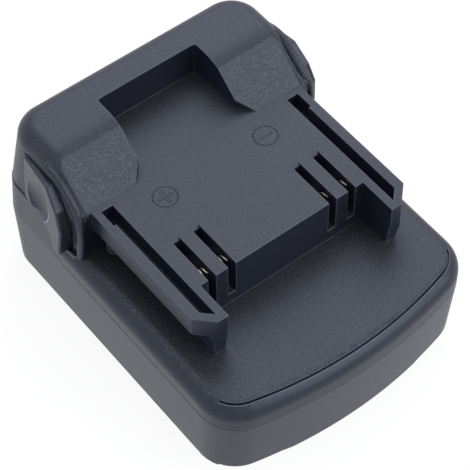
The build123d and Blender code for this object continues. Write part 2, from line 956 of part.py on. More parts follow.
def latch_button():
    """One latch: finger pad, stem, flange, arm and rail tooth in one moulding."""
    pad = finger_pad()
    stem = block(
        stem_inner_half_width, pad_inner_half_width + 0.2 * wall,
        stem_front_y, stem_front_y + stem_width,
        stem_bottom, stem_bottom + stem_height,
    )
    flange_outer = side_room_half_width - running_gap
    flange = block(
        flange_outer - flange_thickness, flange_outer,
        stem_front_y - flange_margin_long, stem_front_y + stem_width + flange_margin_long,
        stem_bottom, stem_bottom + stem_height + flange_margin_high,
    )
    tooth_y0 = front_y + tooth_setback
    tooth_y1 = tooth_y0 + tooth_length
    arm = block(
        arm_inner_half_width, arm_outer_half_width,
        tooth_y0, stem_front_y + 0.5 * stem_width,
        arm_bottom(), arm_bottom() + arm_height,
    )
    arm_root = block(
        arm_inner_half_width, arm_outer_half_width,
        stem_front_y, stem_front_y + stem_width,
        stem_bottom, arm_bottom() + arm_height,
    )
    tooth_plan = Polyline(
        (arm_inner_half_width, tooth_y0),
        (arm_outer_half_width, tooth_y0),
        (tooth_tip_half_width(), tooth_y0 + tooth_lead),
        (tooth_tip_half_width(), tooth_y1),
        (arm_inner_half_width, tooth_y1),
        close=True,
    )
    tooth = extrude(Pos(0, 0, arm_bottom()) * make_face(tooth_plan), amount=tooth_height)
    button = pad + stem + flange + arm + arm_root + tooth
    hole = Pos(stem_inner_half_width, stem_middle_y, stem_middle_z) * Rot(0, 90, 0)
    button -= hole * Cylinder(spring_pocket_radius, 2 * spring_pocket_depth)
    return button


def dimple(middle):
    """A shallow oval hollow for the fingertip."""
    hollow = scale(Sphere(1), by=(dimple_depth, dimple_half_length, dimple_half_height))
    return Pos(*middle) * hollow


def latch_spring():
    """One coil spring, lying across the case."""
    start = spring_axis_start() + 0.5 * spring_wire
    end = stem_inner_half_width + spring_pocket_depth - 0.5 * spring_wire
    length = end - start
    path = Helix(length / spring_turns, length, spring_radius)
    section = RegularPolygon(0.5 * spring_wire, spring_wire_sides)
    wire = Plane(origin=path @ 0, z_dir=path % 0) * section
    coil = sweep(wire, path=path, is_frenet=True)
    return Pos(start, stem_middle_y, stem_middle_z) * Rot(0, 90, 0) * coil


def tool_contact(x):
    """One fork contact: two bent leaves on a foot."""
    front = front_y + leaf_front_setback
    back = front + leaf_length
    waist = front + 0.4 * leaf_length
    base = slot_floor + leaf_base_rise
    inner = ThreePointArc((leaf_end_offset, front), (leaf_pinch_offset, waist), (leaf_end_offset, back))
    outer_end = leaf_end_offset + leaf_thickness
    outer_waist = leaf_pinch_offset + leaf_thickness
    outer = ThreePointArc((outer_end, back), (outer_waist, waist), (outer_end, front))
    back_edge = Line((leaf_end_offset, back), (outer_end, back))
    front_edge = Line((outer_end, front), (leaf_end_offset, front))
    leaf = extrude(make_face([inner, back_edge, outer, front_edge]), amount=leaf_height)
    leaves = Pos(0, 0, base) * (leaf + mirror(leaf, about=Plane.YZ))
    half = 0.5 * foot_width
    foot = block(-half, half, foot_front_y, foot_front_y + foot_length, tail_bottom, base + leaf_thickness)
    return Pos(x, 0, 0) * (leaves + foot)


def contact_carrier():
    """The insulating block under the platform that grips the contact feet."""
    carrier = block(
        -carrier_half_width, carrier_half_width,
        carrier_front_y, carrier_front_y + carrier_length,
        carrier_bottom, carrier_top,
    )
    carrier = chamfer(carrier.edges().filter_by(Axis.Z), carrier_front_gap)
    carrier -= contact_slits()
    for x, y in carrier_screw_places():
        carrier -= rod(small_screw_radius + screw_hole_play, x, y, 0, overrun)
    return carrier


def blade_block():
    """The insulating block at the front of the bay that holds the blades."""
    y1 = bay_front_y + blade_block_length
    holder = block(
        -blade_block_half_width, blade_block_half_width,
        bay_front_y, y1,
        bay_roof_height - blade_block_height, bay_roof_height,
    )
    rear_edges = holder.faces().sort_by(Axis.Y)[-1].edges()
    holder = chamfer(rear_edges.sort_by(Axis.Z)[0:1], blade_block_edge)
    for side in (-1, 1):
        holder -= Pos(side * blade_half_spacing, 0, 0) * blade_room()
    for x, y in blade_screw_places():
        seat = bay_roof_height - blade_block_height + small_head_height + head_play
        holder -= rod(small_head_radius + head_play, x, y, 0, seat)
        holder -= rod(small_screw_radius + screw_hole_play, x, y, 0, overrun)
    return holder


def blade_room():
    """The space in the blade block for one blade and its tab."""
    half = 0.5 * blade_thickness + carrier_fit
    top = bay_roof_height - blade_drop + carrier_fit
    bottom = bay_roof_height - blade_drop - blade_height - carrier_fit
    start = bay_front_y + blade_block_length - blade_root
    root = block(-half, half, start - carrier_fit, overrun, bottom, top)
    front = blade_tab_front()
    tab = block(-half, half, front - carrier_fit, front + tab_length + carrier_fit, top - wall, overrun)
    return root + tab


def battery_blade(x):
    """One flat blade with a tapered tip and an upright tab."""
    half = 0.5 * blade_thickness
    top = bay_roof_height - blade_drop
    start = bay_front_y + blade_block_length - blade_root
    end = start + blade_length
    blade = block(-half, half, start, end, top - blade_height, top)
    tip = blade.faces().sort_by(Axis.Y)[-1].edges().filter_by(Axis.Z)
    blade = chamfer(tip, blade_tip_taper, blade_tip_chamfer)
    front = blade_tab_front()
    tab = block(-half, half, front, front + tab_length, top - blade_height, roof_top + tab_rise)
    return Pos(x, 0, 0) * (blade + tab)


def board_bottom():
    """The underside of the sense board."""
    return platform_ceiling - board_drop


def sense_board():
    """The small circuit board under the platform."""
    y0 = front_y + board_setback
    board = block(
        -board_half_width, board_half_width, y0, y0 + board_length,
        board_bottom(), board_bottom() + board_thickness,
    )
    for x, y in board_screw_places():
        board -= rod(small_screw_radius + screw_hole_play, x, y, 0, overrun)
    return board


def board_components():
    """The chip, resistors and capacitor on the board's upper face."""
    z = board_bottom() + board_thickness
    y0 = front_y + board_setback
    chip_y = y0 + 0.5 * (board_length - chip_width)
    pieces = [block(-0.5 * chip_length, 0.5 * chip_length, chip_y, chip_y + chip_width, z, z + chip_height)]
    for side in (-1, 1):
        x = side * 0.5 * board_half_width
        near = y0 + resistor_width
        pieces.append(block(
            x - 0.5 * resistor_length, x + 0.5 * resistor_length,
            near, near + resistor_width, z, z + resistor_height,
        ))
    far_y = y0 + board_length - capacitor_radius - 0.2 * capacitor_radius
    pieces.append(rod(capacitor_radius, 0, far_y, z, z + capacitor_height))
    return Compound(children=pieces)


def lead(points, radius, bends):
    """A round lead along straight runs joined by arcs."""
    path = FilletPolyline(*points, radius=bends)
    section = Plane(origin=path @ 0, z_dir=path % 0) * RegularPolygon(radius, lead_sides)
    return sweep(section, path=path)


def power_lead(side):
    """The lead from a battery blade's tab to a tool contact's foot."""
    blade_x = side * blade_half_spacing
    contact_x = side * inner_slot_half_spacing
    start_y = blade_tab_front() + tab_length
    start_z = roof_top + tab_rise - power_lead_radius - 0.2 * power_lead_rise
    end_z = tail_bottom + power_lead_radius
    span = foot_front_y - start_y
    points = [
        (blade_x, start_y, start_z),
        (blade_x, start_y + 0.3 * span, start_z),
        (contact_x, start_y + 0.7 * span, end_z),
        (contact_x, foot_front_y, end_z),
    ]
    return lead(points, power_lead_radius, span)


def sense_lead(side):
    """The thin lead from a sense contact's foot to the board."""
    contact_x = side * outer_slot_half_spacing
    board_x = side * 0.4 * board_half_width
    start_y = foot_front_y + foot_length
    board_y = front_y + board_setback + 0.3 * board_length
    start_z = tail_bottom + sense_lead_radius
    points = [
        (contact_x, start_y, start_z),
        (contact_x, start_y + 1.4 * lead_bend_radius, start_z),
        (board_x, board_y, start_z),
        (board_x, board_y, board_bottom()),
    ]
    return lead(points, sense_lead_radius, lead_bend_radius)


def screw(x, y, head_bottom, top, radius, head_radius, head_height):
    """A pan head screw pointing up."""
    head = rod(head_radius, x, y, head_bottom, head_bottom + head_height)
    shank = rod(radius, x, y, head_bottom + head_height, top)
    return head + shank


def screw_groups():
    """Each set of screws as separate solids."""
    case_head = bay_roof_height + head_play
    case_set = []
    for x, y in case_screw_places():
        top = seat_top() + case_screw_engagement_at(y) - head_play
        case_set.append(screw(x, y, case_head, top, screw_radius, screw_head_radius, screw_head_height))
    small = (small_screw_radius, small_head_radius, small_head_height)
    carrier_set = []
    for x, y in carrier_screw_places():
        top = carrier_top + small_screw_engagement - head_play
        carrier_set.append(screw(x, y, carrier_bottom - small_head_height, top, *small))
    board_set = []
    for x, y in board_screw_places():
        top = board_bottom() + board_thickness + small_screw_engagement - head_play
        board_set.append(screw(x, y, board_bottom() - small_head_height, top, *small))
    blade_set = []
    for x, y in blade_screw_places():
        head = bay_roof_height - blade_block_height + head_play
        top = roof_top + small_screw_engagement * 0.5 - 0.3 * wall - head_play
        blade_set.append(screw(x, y, head, top, *small))
    return {
        "case_screws": Compound(children=case_set),
        "carrier_screws": Compound(children=carrier_set),
        "board_screws": Compound(children=board_set),
        "blade_block_screws": Compound(children=blade_set),
    }


def build():
    """Every piece by its name."""
    right_button = latch_button()
    right_spring = latch_spring()
    pieces = {
        "upper_shell": upper_shell(),
        "lower_shell": lower_shell(),
        "latch_button_right": right_button,
        "latch_button_left": mirror(right_button, about=Plane.YZ),
        "latch_spring_right": right_spring,
        "latch_spring_left": mirror(right_spring, about=Plane.YZ),
        "tool_contact_positive": tool_contact(-inner_slot_half_spacing),
        "tool_contact_negative": tool_contact(inner_slot_half_spacing),
        "sense_contact_left": tool_contact(-outer_slot_half_spacing),
        "sense_contact_right": tool_contact(outer_slot_half_spacing),
        "contact_carrier": contact_carrier(),
        "blade_block": blade_block(),
        "battery_blade_positive": battery_blade(-blade_half_spacing),
        "battery_blade_negative": battery_blade(blade_half_spacing),
        "sense_board": sense_board(),
        "board_components": board_components(),
        "positive_lead": power_lead(-1),
        "negative_lead": power_lead(1),
        "sense_leads": Compound(children=[sense_lead(-1), sense_lead(1)]),
    }
    pieces.update(screw_groups())
    return pieces


os.makedirs("parts", exist_ok=True)
for name, shape in build().items():
    export_step(shape, f"parts/{name}.step")
    print(name, round(shape.volume), "mm3")
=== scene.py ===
import math

import bpy
from mathutils import Matrix, Vector


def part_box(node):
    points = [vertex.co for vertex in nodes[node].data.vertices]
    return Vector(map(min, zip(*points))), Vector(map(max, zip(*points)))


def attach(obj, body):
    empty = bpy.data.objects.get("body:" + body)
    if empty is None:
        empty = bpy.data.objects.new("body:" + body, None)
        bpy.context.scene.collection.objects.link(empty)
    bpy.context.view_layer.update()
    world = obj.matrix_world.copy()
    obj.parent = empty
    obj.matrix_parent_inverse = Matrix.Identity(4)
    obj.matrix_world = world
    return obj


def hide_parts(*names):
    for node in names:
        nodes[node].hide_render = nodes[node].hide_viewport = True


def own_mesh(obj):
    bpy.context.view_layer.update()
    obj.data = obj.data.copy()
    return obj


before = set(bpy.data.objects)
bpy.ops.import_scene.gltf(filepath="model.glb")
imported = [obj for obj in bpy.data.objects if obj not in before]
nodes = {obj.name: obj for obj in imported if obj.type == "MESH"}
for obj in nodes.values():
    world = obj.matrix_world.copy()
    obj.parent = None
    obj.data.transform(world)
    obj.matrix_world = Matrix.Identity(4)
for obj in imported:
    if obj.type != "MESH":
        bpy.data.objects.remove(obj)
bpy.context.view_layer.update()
mm = 0.001
bpy.context.scene.view_settings.view_transform = "Standard"
print("frame loaded:", len(nodes), "CAD nodes")


def linearOf(hexColour):
    # sRGB hex to the linear colour that the shaders want
    parts = [int(hexColour[i:i + 2], 16) / 255 for i in (1, 3, 5)]
    return [p / 12.92 if p <= 0.04045 else ((p + 0.055) / 1.055) ** 2.4 for p in parts] + [1.0]


def addNode(tree, kind, inputs=None, **settings):
    # one node: settings are its own options, inputs are plain values, sockets or nodes to link from
    node = tree.nodes.new(kind)
    for name, value in settings.items():
        setattr(node, name, value)
    for socket, value in (inputs or {}).items():
        several = isinstance(value, list) and isinstance(value[0], bpy.types.Node)
        for one in value if several else [value]:
            if isinstance(one, bpy.types.Node):
                one = one.outputs[0]
            if isinstance(one, bpy.types.NodeSocket):
                tree.links.new(one, node.inputs[socket])
            else:
                node.inputs[socket].default_value = one
    return node


# camera, fitted to the photograph's corners, place in metres
photoCamera = {
    "place": (-0.181369, -0.233877, 0.412331),
    "azimuth": 37.64,         # turned from +Y towards +X
    "elevation": 52.871,      # looking down
    "roll": -0.519,
    "focus": 2000 / 470,      # focal length against the frame's width
    "sensor": 36,
    "clipStart": 0.01,
}


def placeCamera(setup):
    turn, tilt, roll = (math.radians(setup[k]) for k in ("azimuth", "elevation", "roll"))
    forward = Vector((math.sin(turn) * math.cos(tilt), math.cos(turn) * math.cos(tilt), -math.sin(tilt)))
    level = Vector((math.cos(turn), -math.sin(turn), 0))
    upright = level.cross(forward)
    across = level * math.cos(roll) + upright * math.sin(roll)
    upward = upright * math.cos(roll) - level * math.sin(roll)
    axes = Matrix((across, upward, -forward)).transposed().to_4x4()
    data = bpy.data.cameras.new("photoCamera")
    data.lens = setup["focus"] * setup["sensor"]
    data.sensor_width = setup["sensor"]
    data.clip_start = setup["clipStart"]
    camera = bpy.data.objects.new("photoCamera", data)
    camera.matrix_world = Matrix.Translation(setup["place"]) @ axes
    bpy.context.scene.collection.objects.link(camera)
    bpy.context.scene.camera = camera


placeCamera(photoCamera)
print("camera placed")


# light: a pale world, a wide softbox behind the tower and one at the front
studio = {
    "worldColour": "#f6f8ff",
    "worldStrength": 0.94,
    "lamps": [
        # name, place, size, watts, all aimed at the case
        ("rearSoftbox", (0.35, 0.42, 0.70), 0.70, 2.6),
        ("frontSoftbox", (0.30, -0.55, 0.50), 0.60, 2.9),
    ],
    "lampColour": (0.95, 0.97, 1.0),
    "aim": (0, 0, 0.025),
    "floorColour": "#f4f4f4",
    "floorHalf": 1.6,
    "floorGlow": 1.02,
    "shadowShare": 0.14,   # how much of the floor's own shading the camera sees
}


def lightStudio(setup):
    world = bpy.data.worlds.new("studioWorld")
    world.use_nodes = True
    tree = world.node_tree
    tree.nodes.clear()
    path = addNode(tree, "ShaderNodeLightPath")
    clear = {0: path.outputs["Is Glossy Ray"], 1: path.outputs["Is Transmission Ray"]}
    clear = addNode(tree, "ShaderNodeMath", clear, operation="MAXIMUM")
    seen = {0: path.outputs["Is Camera Ray"], 1: clear}
    seen = addNode(tree, "ShaderNodeMath", seen, operation="MAXIMUM")
    colour = linearOf(setup["worldColour"])
    soft = addNode(tree, "ShaderNodeBackground", {"Color": colour, "Strength": setup["worldStrength"]})
    white = addNode(tree, "ShaderNodeBackground", {"Color": (1, 1, 1, 1), "Strength": 1.0})
    both = addNode(tree, "ShaderNodeMixShader", {0: seen, 1: soft, 2: white})
    addNode(tree, "ShaderNodeOutputWorld", {"Surface": both})
    bpy.context.scene.world = world
    for name, place, size, watts in setup["lamps"]:
        data = bpy.data.lights.new(name, "AREA")
        data.size = size
        data.energy = watts
        data.color = setup["lampColour"]
        lamp = bpy.data.objects.new(name, data)
        aim = Vector(setup["aim"]) - Vector(place)
        turned = aim.to_track_quat("-Z", "Y").to_matrix().to_4x4()
        lamp.matrix_world = Matrix.Translation(place) @ turned
        bpy.context.scene.collection.objects.link(lamp)


def layFloor(setup):
    half = setup["floorHalf"]
    corners = [(-half, -half, 0), (half, -half, 0), (half, half, 0), (-half, half, 0)]
    mesh = bpy.data.meshes.new("studioFloor")
    mesh.from_pydata(corners, [], [(0, 1, 2, 3)])
    floor = bpy.data.objects.new("studioFloor", mesh)
    bpy.context.scene.collection.objects.link(floor)
    paper = bpy.data.materials.new("whitePaperSweep")
    paper.use_nodes = True
    tree = paper.node_tree
    tree.nodes.clear()
    matt = addNode(tree, "ShaderNodeBsdfDiffuse", {"Color": linearOf(setup["floorColour"])})
    glow = addNode(tree, "ShaderNodeEmission", {"Color": (1, 1, 1, 1), "Strength": setup["floorGlow"]})
    path = addNode(tree, "ShaderNodeLightPath")
    share = {0: path.outputs["Is Camera Ray"], 1: 1 - setup["shadowShare"]}
    share = addNode(tree, "ShaderNodeMath", share, operation="MULTIPLY")
    clear = {0: path.outputs["Is Glossy Ray"], 1: path.outputs["Is Transmission Ray"]}
    clear = addNode(tree, "ShaderNodeMath", clear, operation="MAXIMUM")
    seen = addNode(tree, "ShaderNodeMath", {0: share, 1: clear}, operation="MAXIMUM")
    both = addNode(tree, "ShaderNodeMixShader", {0: seen, 1: matt, 2: glow})
    addNode(tree, "ShaderNodeOutputMaterial", {"Surface": both})
    mesh.materials.append(paper)


lightStudio(studio)
layFloor(studio)
print("studio lit")


def newMaterial(name):
    material = bpy.data.materials.new(name)
    material.use_nodes = True
    material.node_tree.nodes.clear()
    return material, material.node_tree


def dress(names, material):
    for name in names:
        nodes[name].data.materials.clear()
        nodes[name].data.materials.append(material)


# what nearly all values of a noise texture lie between
noiseReach = {"From Min": 0.3, "From Max": 0.7}

# glass-filled nylon from a spark-eroded mould: near black and matt, with painted glints where the grain
# is coarse, with every moulded edge a little rounded and a painted highlight along it as a thin line
caseNylon = {
    "colour": "#0a0b0d",
    "paleColour": "#101215",
    # painted glint colour of the coarse grain
    "paintedGlintColour": "#6a6761",
    # painted highlight colour of the outer edges
    "paintedEdgeHighlight": "#4a4d56",
    "cloud": 16.0,            # mm, slow change of tone from the flow of the melt
    "cloudRange": (0.35, 0.7),
    "grain": 0.32,            # mm, drawn coarser than the real 0.15 so that it shows
    "grainCrumble": 0.75,     # how much of the grain is its finest part
    "plainGrain": 0.35,       # amount of grain on a piece without zones
    "paintedGlintRange": (0.5, 0.78),
    "roughness": (0.34, 0.48),
    "grainDepth": 0.055,      # mm
    "edgeRadius": 0.4,        # mm
    "edgeReach": 0.35,        # mm, how far the painted edge highlight runs in from an outer edge
    "edgeRange": (0.92, 0.55),
    "specularTint": "#d5e1ff",
    "ior": 1.57,
    "bloomWeight": 0.045,     # the fine pits scatter a little blue at a low angle
    "bloomColour": "#7f9aff",
    "bloomRoughness": 0.5,
}

# the latch buttons come from a finer mould, so they are smoother and have a brighter painted edge
# highlight
buttonNylon = {
    **caseNylon,
    "grain": 0.26,
    "grainDepth": 0.02,
    "roughness": (0.3, 0.42),
    "paintedEdgeHighlight": "#5d616b",
    "edgeReach": 0.45,
}

# how coarse the upper shell's mould was at each place, sizes in mm
grainZones = {
    "panelEdges": [
        # axis, where the coarse panel starts, where it is full
        ("side", 32.8, 32.0),
        ("Y", 14.9, 15.9),
        ("Y", 31.0, 24.0),
        ("Z", 40.1, 40.7),
    ],
    "deckLevel": (25.2, 25.7),
    "heights": (38.0, 49.6),  # the deck's grain below them, the top's above
    "panelGrain": 1.3,
    "deckGrain": 0.85,
    "topGrain": 0.5,
    "bandGrain": 0.2,         # share of the deck's grain that is left below the deck
    "wallShare": 0.15,        # share of the grain that is left on an upright wall
    "wallTurn": 0.5,          # below this rise of its normal a surface turns into a wall
}

# the engraved poles on the platform, in mm
poleMarks = {
    "plus": (-15.2, 8.55, 40.0),
    "minus": (15.2, 8.55, 40.0),
    "ringRadius": 3.05,
    "ringHalfWidth": 0.13,
    "armHalfLength": 1.9,
    "armHalfWidth": 0.36,
    "edge": 0.09,             # half the width of the groove's sloping side
    "depth": 0.16,
    "shade": 0.55,            # how far the groove's floor turns to the painted shade colour
    # painted shade colour of the groove's floor
    "floorColour": "#060607",
    "levelReach": 0.1,        # how far from the platform's level they still show
}


def poleGroove(tree, place, marks, centre, arms):
    # how far each point lies inside the engraving of one pole, 0 outside and 1 on its floor
    centre = [c * mm for c in centre]
    offset = addNode(tree, "ShaderNodeVectorMath", {0: place, 1: centre}, operation="SUBTRACT")
    reach = addNode(tree, "ShaderNodeVectorMath", {0: offset}, operation="LENGTH").outputs["Value"]
    ring = addNode(tree, "ShaderNodeMath", {0: reach, 1: marks["ringRadius"] * mm}, operation="SUBTRACT")
    ring = addNode(tree, "ShaderNodeMath", {0: ring}, operation="ABSOLUTE")
    ring = {0: ring, 1: marks["ringHalfWidth"] * mm}
    nearest = addNode(tree, "ShaderNodeMath", ring, operation="SUBTRACT")
    sizes = addNode(tree, "ShaderNodeVectorMath", {0: offset}, operation="ABSOLUTE")
    axes = addNode(tree, "ShaderNodeSeparateXYZ", {0: sizes})
    for alongX, alongY in arms:
        overX = {0: axes.outputs["X"], 1: alongX * mm}
        overX = addNode(tree, "ShaderNodeMath", overX, operation="SUBTRACT")
        overY = {0: axes.outputs["Y"], 1: alongY * mm}
        overY = addNode(tree, "ShaderNodeMath", overY, operation="SUBTRACT")
        arm = addNode(tree, "ShaderNodeMath", {0: overX, 1: overY}, operation="MAXIMUM")
        nearest = addNode(tree, "ShaderNodeMath", {0: nearest, 1: arm}, operation="MINIMUM")
    edge = marks["edge"] * mm
    span = {"Value": nearest, "From Min": edge, "From Max": -edge}
    return addNode(tree, "ShaderNodeMapRange", span, interpolation_type="SMOOTHSTEP")


def platformMarks(tree, place, height, marks):
    # both poles, on the platform's level only
    length, width = marks["armHalfLength"], marks["armHalfWidth"]
    plus = poleGroove(tree, place, marks, marks["plus"], [(length, width), (width, length)])
    minus = poleGroove(tree, place, marks, marks["minus"], [(length, width)])
    both = addNode(tree, "ShaderNodeMath", {0: plus, 1: minus}, operation="MAXIMUM")
    level = {0: height, 1: marks["plus"][2] * mm, 2: marks["levelReach"] * mm}
    level = addNode(tree, "ShaderNodeMath", level, operation="COMPARE")
    return addNode(tree, "ShaderNodeMath", {0: both, 1: level}, operation="MULTIPLY")


def grainAmount(tree, axes, zones):
    # coarse on the slope's panels, medium on the deck, fine on the tower's top and just below the deck
    side = addNode(tree, "ShaderNodeMath", {0: axes.outputs["X"]}, operation="ABSOLUTE").outputs[0]
    sources = {"side": side, "Y": axes.outputs["Y"], "Z": axes.outputs["Z"]}
    panel = zones["panelGrain"]
    for axis, start, full in zones["panelEdges"]:
        span = {"Value": sources[axis], "From Min": start * mm, "From Max": full * mm}
        step = addNode(tree, "ShaderNodeMapRange", span, interpolation_type="SMOOTHSTEP")
        panel = addNode(tree, "ShaderNodeMath", {0: panel, 1: step}, operation="MULTIPLY")
    low, high = zones["heights"]
    span = {"Value": axes.outputs["Z"], "From Min": low * mm, "From Max": high * mm}
    span.update({"To Min": zones["deckGrain"], "To Max": zones["topGrain"]})
    plain = addNode(tree, "ShaderNodeMapRange", span)
    low, high = zones["deckLevel"]
    span = {"Value": axes.outputs["Z"], "From Min": low * mm, "From Max": high * mm}
    span["To Min"] = zones["bandGrain"]
    band = addNode(tree, "ShaderNodeMapRange", span)
    plain = addNode(tree, "ShaderNodeMath", {0: plain, 1: band}, operation="MULTIPLY")
    coarse = addNode(tree, "ShaderNodeMath", {0: plain, 1: panel}, operation="MAXIMUM")
    facing = addNode(tree, "ShaderNodeTexCoord").outputs["Normal"]
    facing = addNode(tree, "ShaderNodeSeparateXYZ", {0: facing}).outputs["Z"]
    span = {"Value": facing, "From Max": zones["wallTurn"], "To Min": zones["wallShare"]}
    walls = addNode(tree, "ShaderNodeMapRange", span)     # the walls rub smooth as they leave the mould
    return addNode(tree, "ShaderNodeMath", {0: coarse, 1: walls}, operation="MULTIPLY")


def roundedEdge(tree, setup):
    # a rounded normal, and how near an outer edge each point lies, felt from inside the wall
    bevel = addNode(tree, "ShaderNodeBevel", {"Radius": setup["edgeRadius"] * mm}, samples=4)
    inside = {"Distance": setup["edgeReach"] * mm}
    inside = addNode(tree, "ShaderNodeAmbientOcclusion", inside, samples=6, inside=True, only_local=True)
    wall, edge = setup["edgeRange"]
    span = {"Value": inside.outputs["AO"], "From Min": wall, "From Max": edge}
    nearEdge = addNode(tree, "ShaderNodeMapRange", span, interpolation_type="SMOOTHSTEP")
    return bevel, nearEdge


def makeNylon(name, setup, zones=None, marks=None):
    material, tree = newMaterial(name)
    place = addNode(tree, "ShaderNodeTexCoord").outputs["Object"]
    axes = addNode(tree, "ShaderNodeSeparateXYZ", {0: place})
    slow = {"Vector": place, "Scale": 1 / (setup["cloud"] * mm), "Detail": 3.0}
    cloud = addNode(tree, "ShaderNodeTexNoise", slow)
    fine = {"Vector": place, "Scale": 1 / (setup["grain"] * mm), "Detail": 3.0}
    fine["Roughness"] = setup["grainCrumble"]
    grain = addNode(tree, "ShaderNodeTexNoise", fine)
    amount = grainAmount(tree, axes, zones) if zones else setup["plainGrain"]
    tone = addNode(tree, "ShaderNodeValToRGB", {"Fac": cloud})
    for stop, key in enumerate(("colour", "paleColour")):
        tone.color_ramp.elements[stop].position = setup["cloudRange"][stop]
        tone.color_ramp.elements[stop].color = linearOf(setup[key])
    # painted glints: where the grain is coarse the colour turns paler
    low, high = setup["paintedGlintRange"]
    glint = addNode(tree, "ShaderNodeMapRange", {"Value": grain, "From Min": low, "From Max": high})
    glint = addNode(tree, "ShaderNodeMath", {0: glint, 1: amount}, operation="MULTIPLY", use_clamp=True)
    paintedGlints = {0: glint, 6: tone, 7: linearOf(setup["paintedGlintColour"])}
    colour = addNode(tree, "ShaderNodeMix", paintedGlints, data_type="RGBA").outputs[2]
    bevel, nearEdge = roundedEdge(tree, setup)
    # painted highlight: the colour turns paler near each outer edge
    paintedEdgeLight = {0: nearEdge, 6: colour, 7: linearOf(setup["paintedEdgeHighlight"])}
    colour = addNode(tree, "ShaderNodeMix", paintedEdgeLight, data_type="RGBA").outputs[2]
    depth = addNode(tree, "ShaderNodeMath", {0: grain, 1: amount}, operation="MULTIPLY")
    bump = {"Height": depth, "Strength": 1.0, "Distance": setup["grainDepth"] * mm, "Normal": bevel}
    bump = addNode(tree, "ShaderNodeBump", bump)
    low, high = setup["roughness"]
    matt = {"Value": grain, **noiseReach, "To Min": low, "To Max": high}
    matt = addNode(tree, "ShaderNodeMapRange", matt)
    if marks:
        groove = platformMarks(tree, place, axes.outputs["Z"], marks)
        sunk = {"Height": groove, "Strength": 1.0, "Distance": marks["depth"] * mm, "Normal": bump}
        bump = addNode(tree, "ShaderNodeBump", sunk, invert=True)
        # painted shade darkens the floor of the engraved grooves
        shaded = addNode(tree, "ShaderNodeMath", {0: groove, 1: marks["shade"]}, operation="MULTIPLY")
        grooveShade = {0: shaded, 6: colour, 7: linearOf(marks["floorColour"])}
        colour = addNode(tree, "ShaderNodeMix", grooveShade, data_type="RGBA").outputs[2]
    skin = addNode(tree, "ShaderNodeBsdfPrincipled", {
        "Base Color": colour,
        "Roughness": matt,
        "IOR": setup["ior"],
        "Specular Tint": linearOf(setup["specularTint"]),
        "Sheen Weight": setup["bloomWeight"],
        "Sheen Tint": linearOf(setup["bloomColour"]),
        "Sheen Roughness": setup["bloomRoughness"],
        "Normal": bump,
    })
    addNode(tree, "ShaderNodeOutputMaterial", {"Surface": skin})
    return material


upperNylon = makeNylon("sparkErodedNylonWithMarks", caseNylon, grainZones, poleMarks)
dress(["upper_shell"], upperNylon)
dress(["lower_shell"], makeNylon("sparkErodedNylon", caseNylon))
dress(["latch_button_left", "latch_button_right"], makeNylon("satinNylon", buttonNylon))
print("case and button plastic made")


# glass-filled polyester of the contact carrier and blade block: dead black with pale streaks of flow
carrierPolyester = {
    "colour": "#101113",
    "streakColour": "#1f2023",
    "streak": (9.0, 1.2),     # mm, long and short way of a flow streak
    "streakRange": (0.45, 0.75),
    "speck": 0.25,            # mm
    "roughness": (0.42, 0.58),
    "depth": 0.01,            # mm
    "ior": 1.57,
}


def makePolyester(setup):
    material, tree = newMaterial("glassFilledPolyester")
    place = addNode(tree, "ShaderNodeTexCoord").outputs["Object"]
    long, short = (1 / (s * mm) for s in setup["streak"])
    stretched = addNode(tree, "ShaderNodeMapping", {"Vector": place, "Scale": (long, short, short)})
    streak = addNode(tree, "ShaderNodeTexNoise", {"Vector": stretched, "Scale": 1.0, "Detail": 2.0})
    speck = addNode(tree, "ShaderNodeTexNoise", {"Vector": place, "Scale": 1 / (setup["speck"] * mm)})
    low, high = setup["streakRange"]
    pale = addNode(tree, "ShaderNodeMapRange", {"Value": streak, "From Min": low, "From Max": high})
    both = {0: pale, 6: linearOf(setup["colour"]), 7: linearOf(setup["streakColour"])}
    colour = addNode(tree, "ShaderNodeMix", both, data_type="RGBA").outputs[2]
    low, high = setup["roughness"]
    matt = addNode(tree, "ShaderNodeMapRange", {"Value": speck, "To Min": low, "To Max": high})
    bump = addNode(tree, "ShaderNodeBump", {"Height": speck, "Distance": setup["depth"] * mm})
    skin = {"Base Color": colour, "Roughness": matt, "IOR": setup["ior"], "Normal": bump}
    skin = addNode(tree, "ShaderNodeBsdfPrincipled", skin)
    addNode(tree, "ShaderNodeOutputMaterial", {"Surface": skin})
    return material


dress(["contact_carrier", "blade_block"], makePolyester(carrierPolyester))


# metals: sheet and wire show fine lines along the way they were rolled or drawn, zinc plating shows
# no direction, and all of them have duller patches
metalPatch = {
    "size": 2.5,              # mm
    "range": (0.45, 0.8),
}
nickelBronze = {
    "name": "nickelPlatedBronze",
    "colour": "#a8a294",
    "dullColour": "#6f6a60",
    "lineSize": (6.0, 6.0, 0.12),   # mm along X, Y and Z: rolling lines run along the strip
    "roughness": (0.2, 0.4),
    "depth": 0.004,                 # mm
}
springSteel = {
    "name": "drawnSpringSteel",
    "colour": "#a9aaa8",
    "dullColour": "#6f706e",
    "lineSize": (0.5, 0.15, 0.15),
    "roughness": (0.22, 0.42),
    "depth": 0.003,
}
zincSteel = {
    "name": "zincPlatedSteel",
    "colour": "#c3c8cf",
    "dullColour": "#9aa0a6",
    "lineSize": (0.6, 0.6, 0.6),
    "roughness": (0.26, 0.48),
    "depth": 0.004,
}


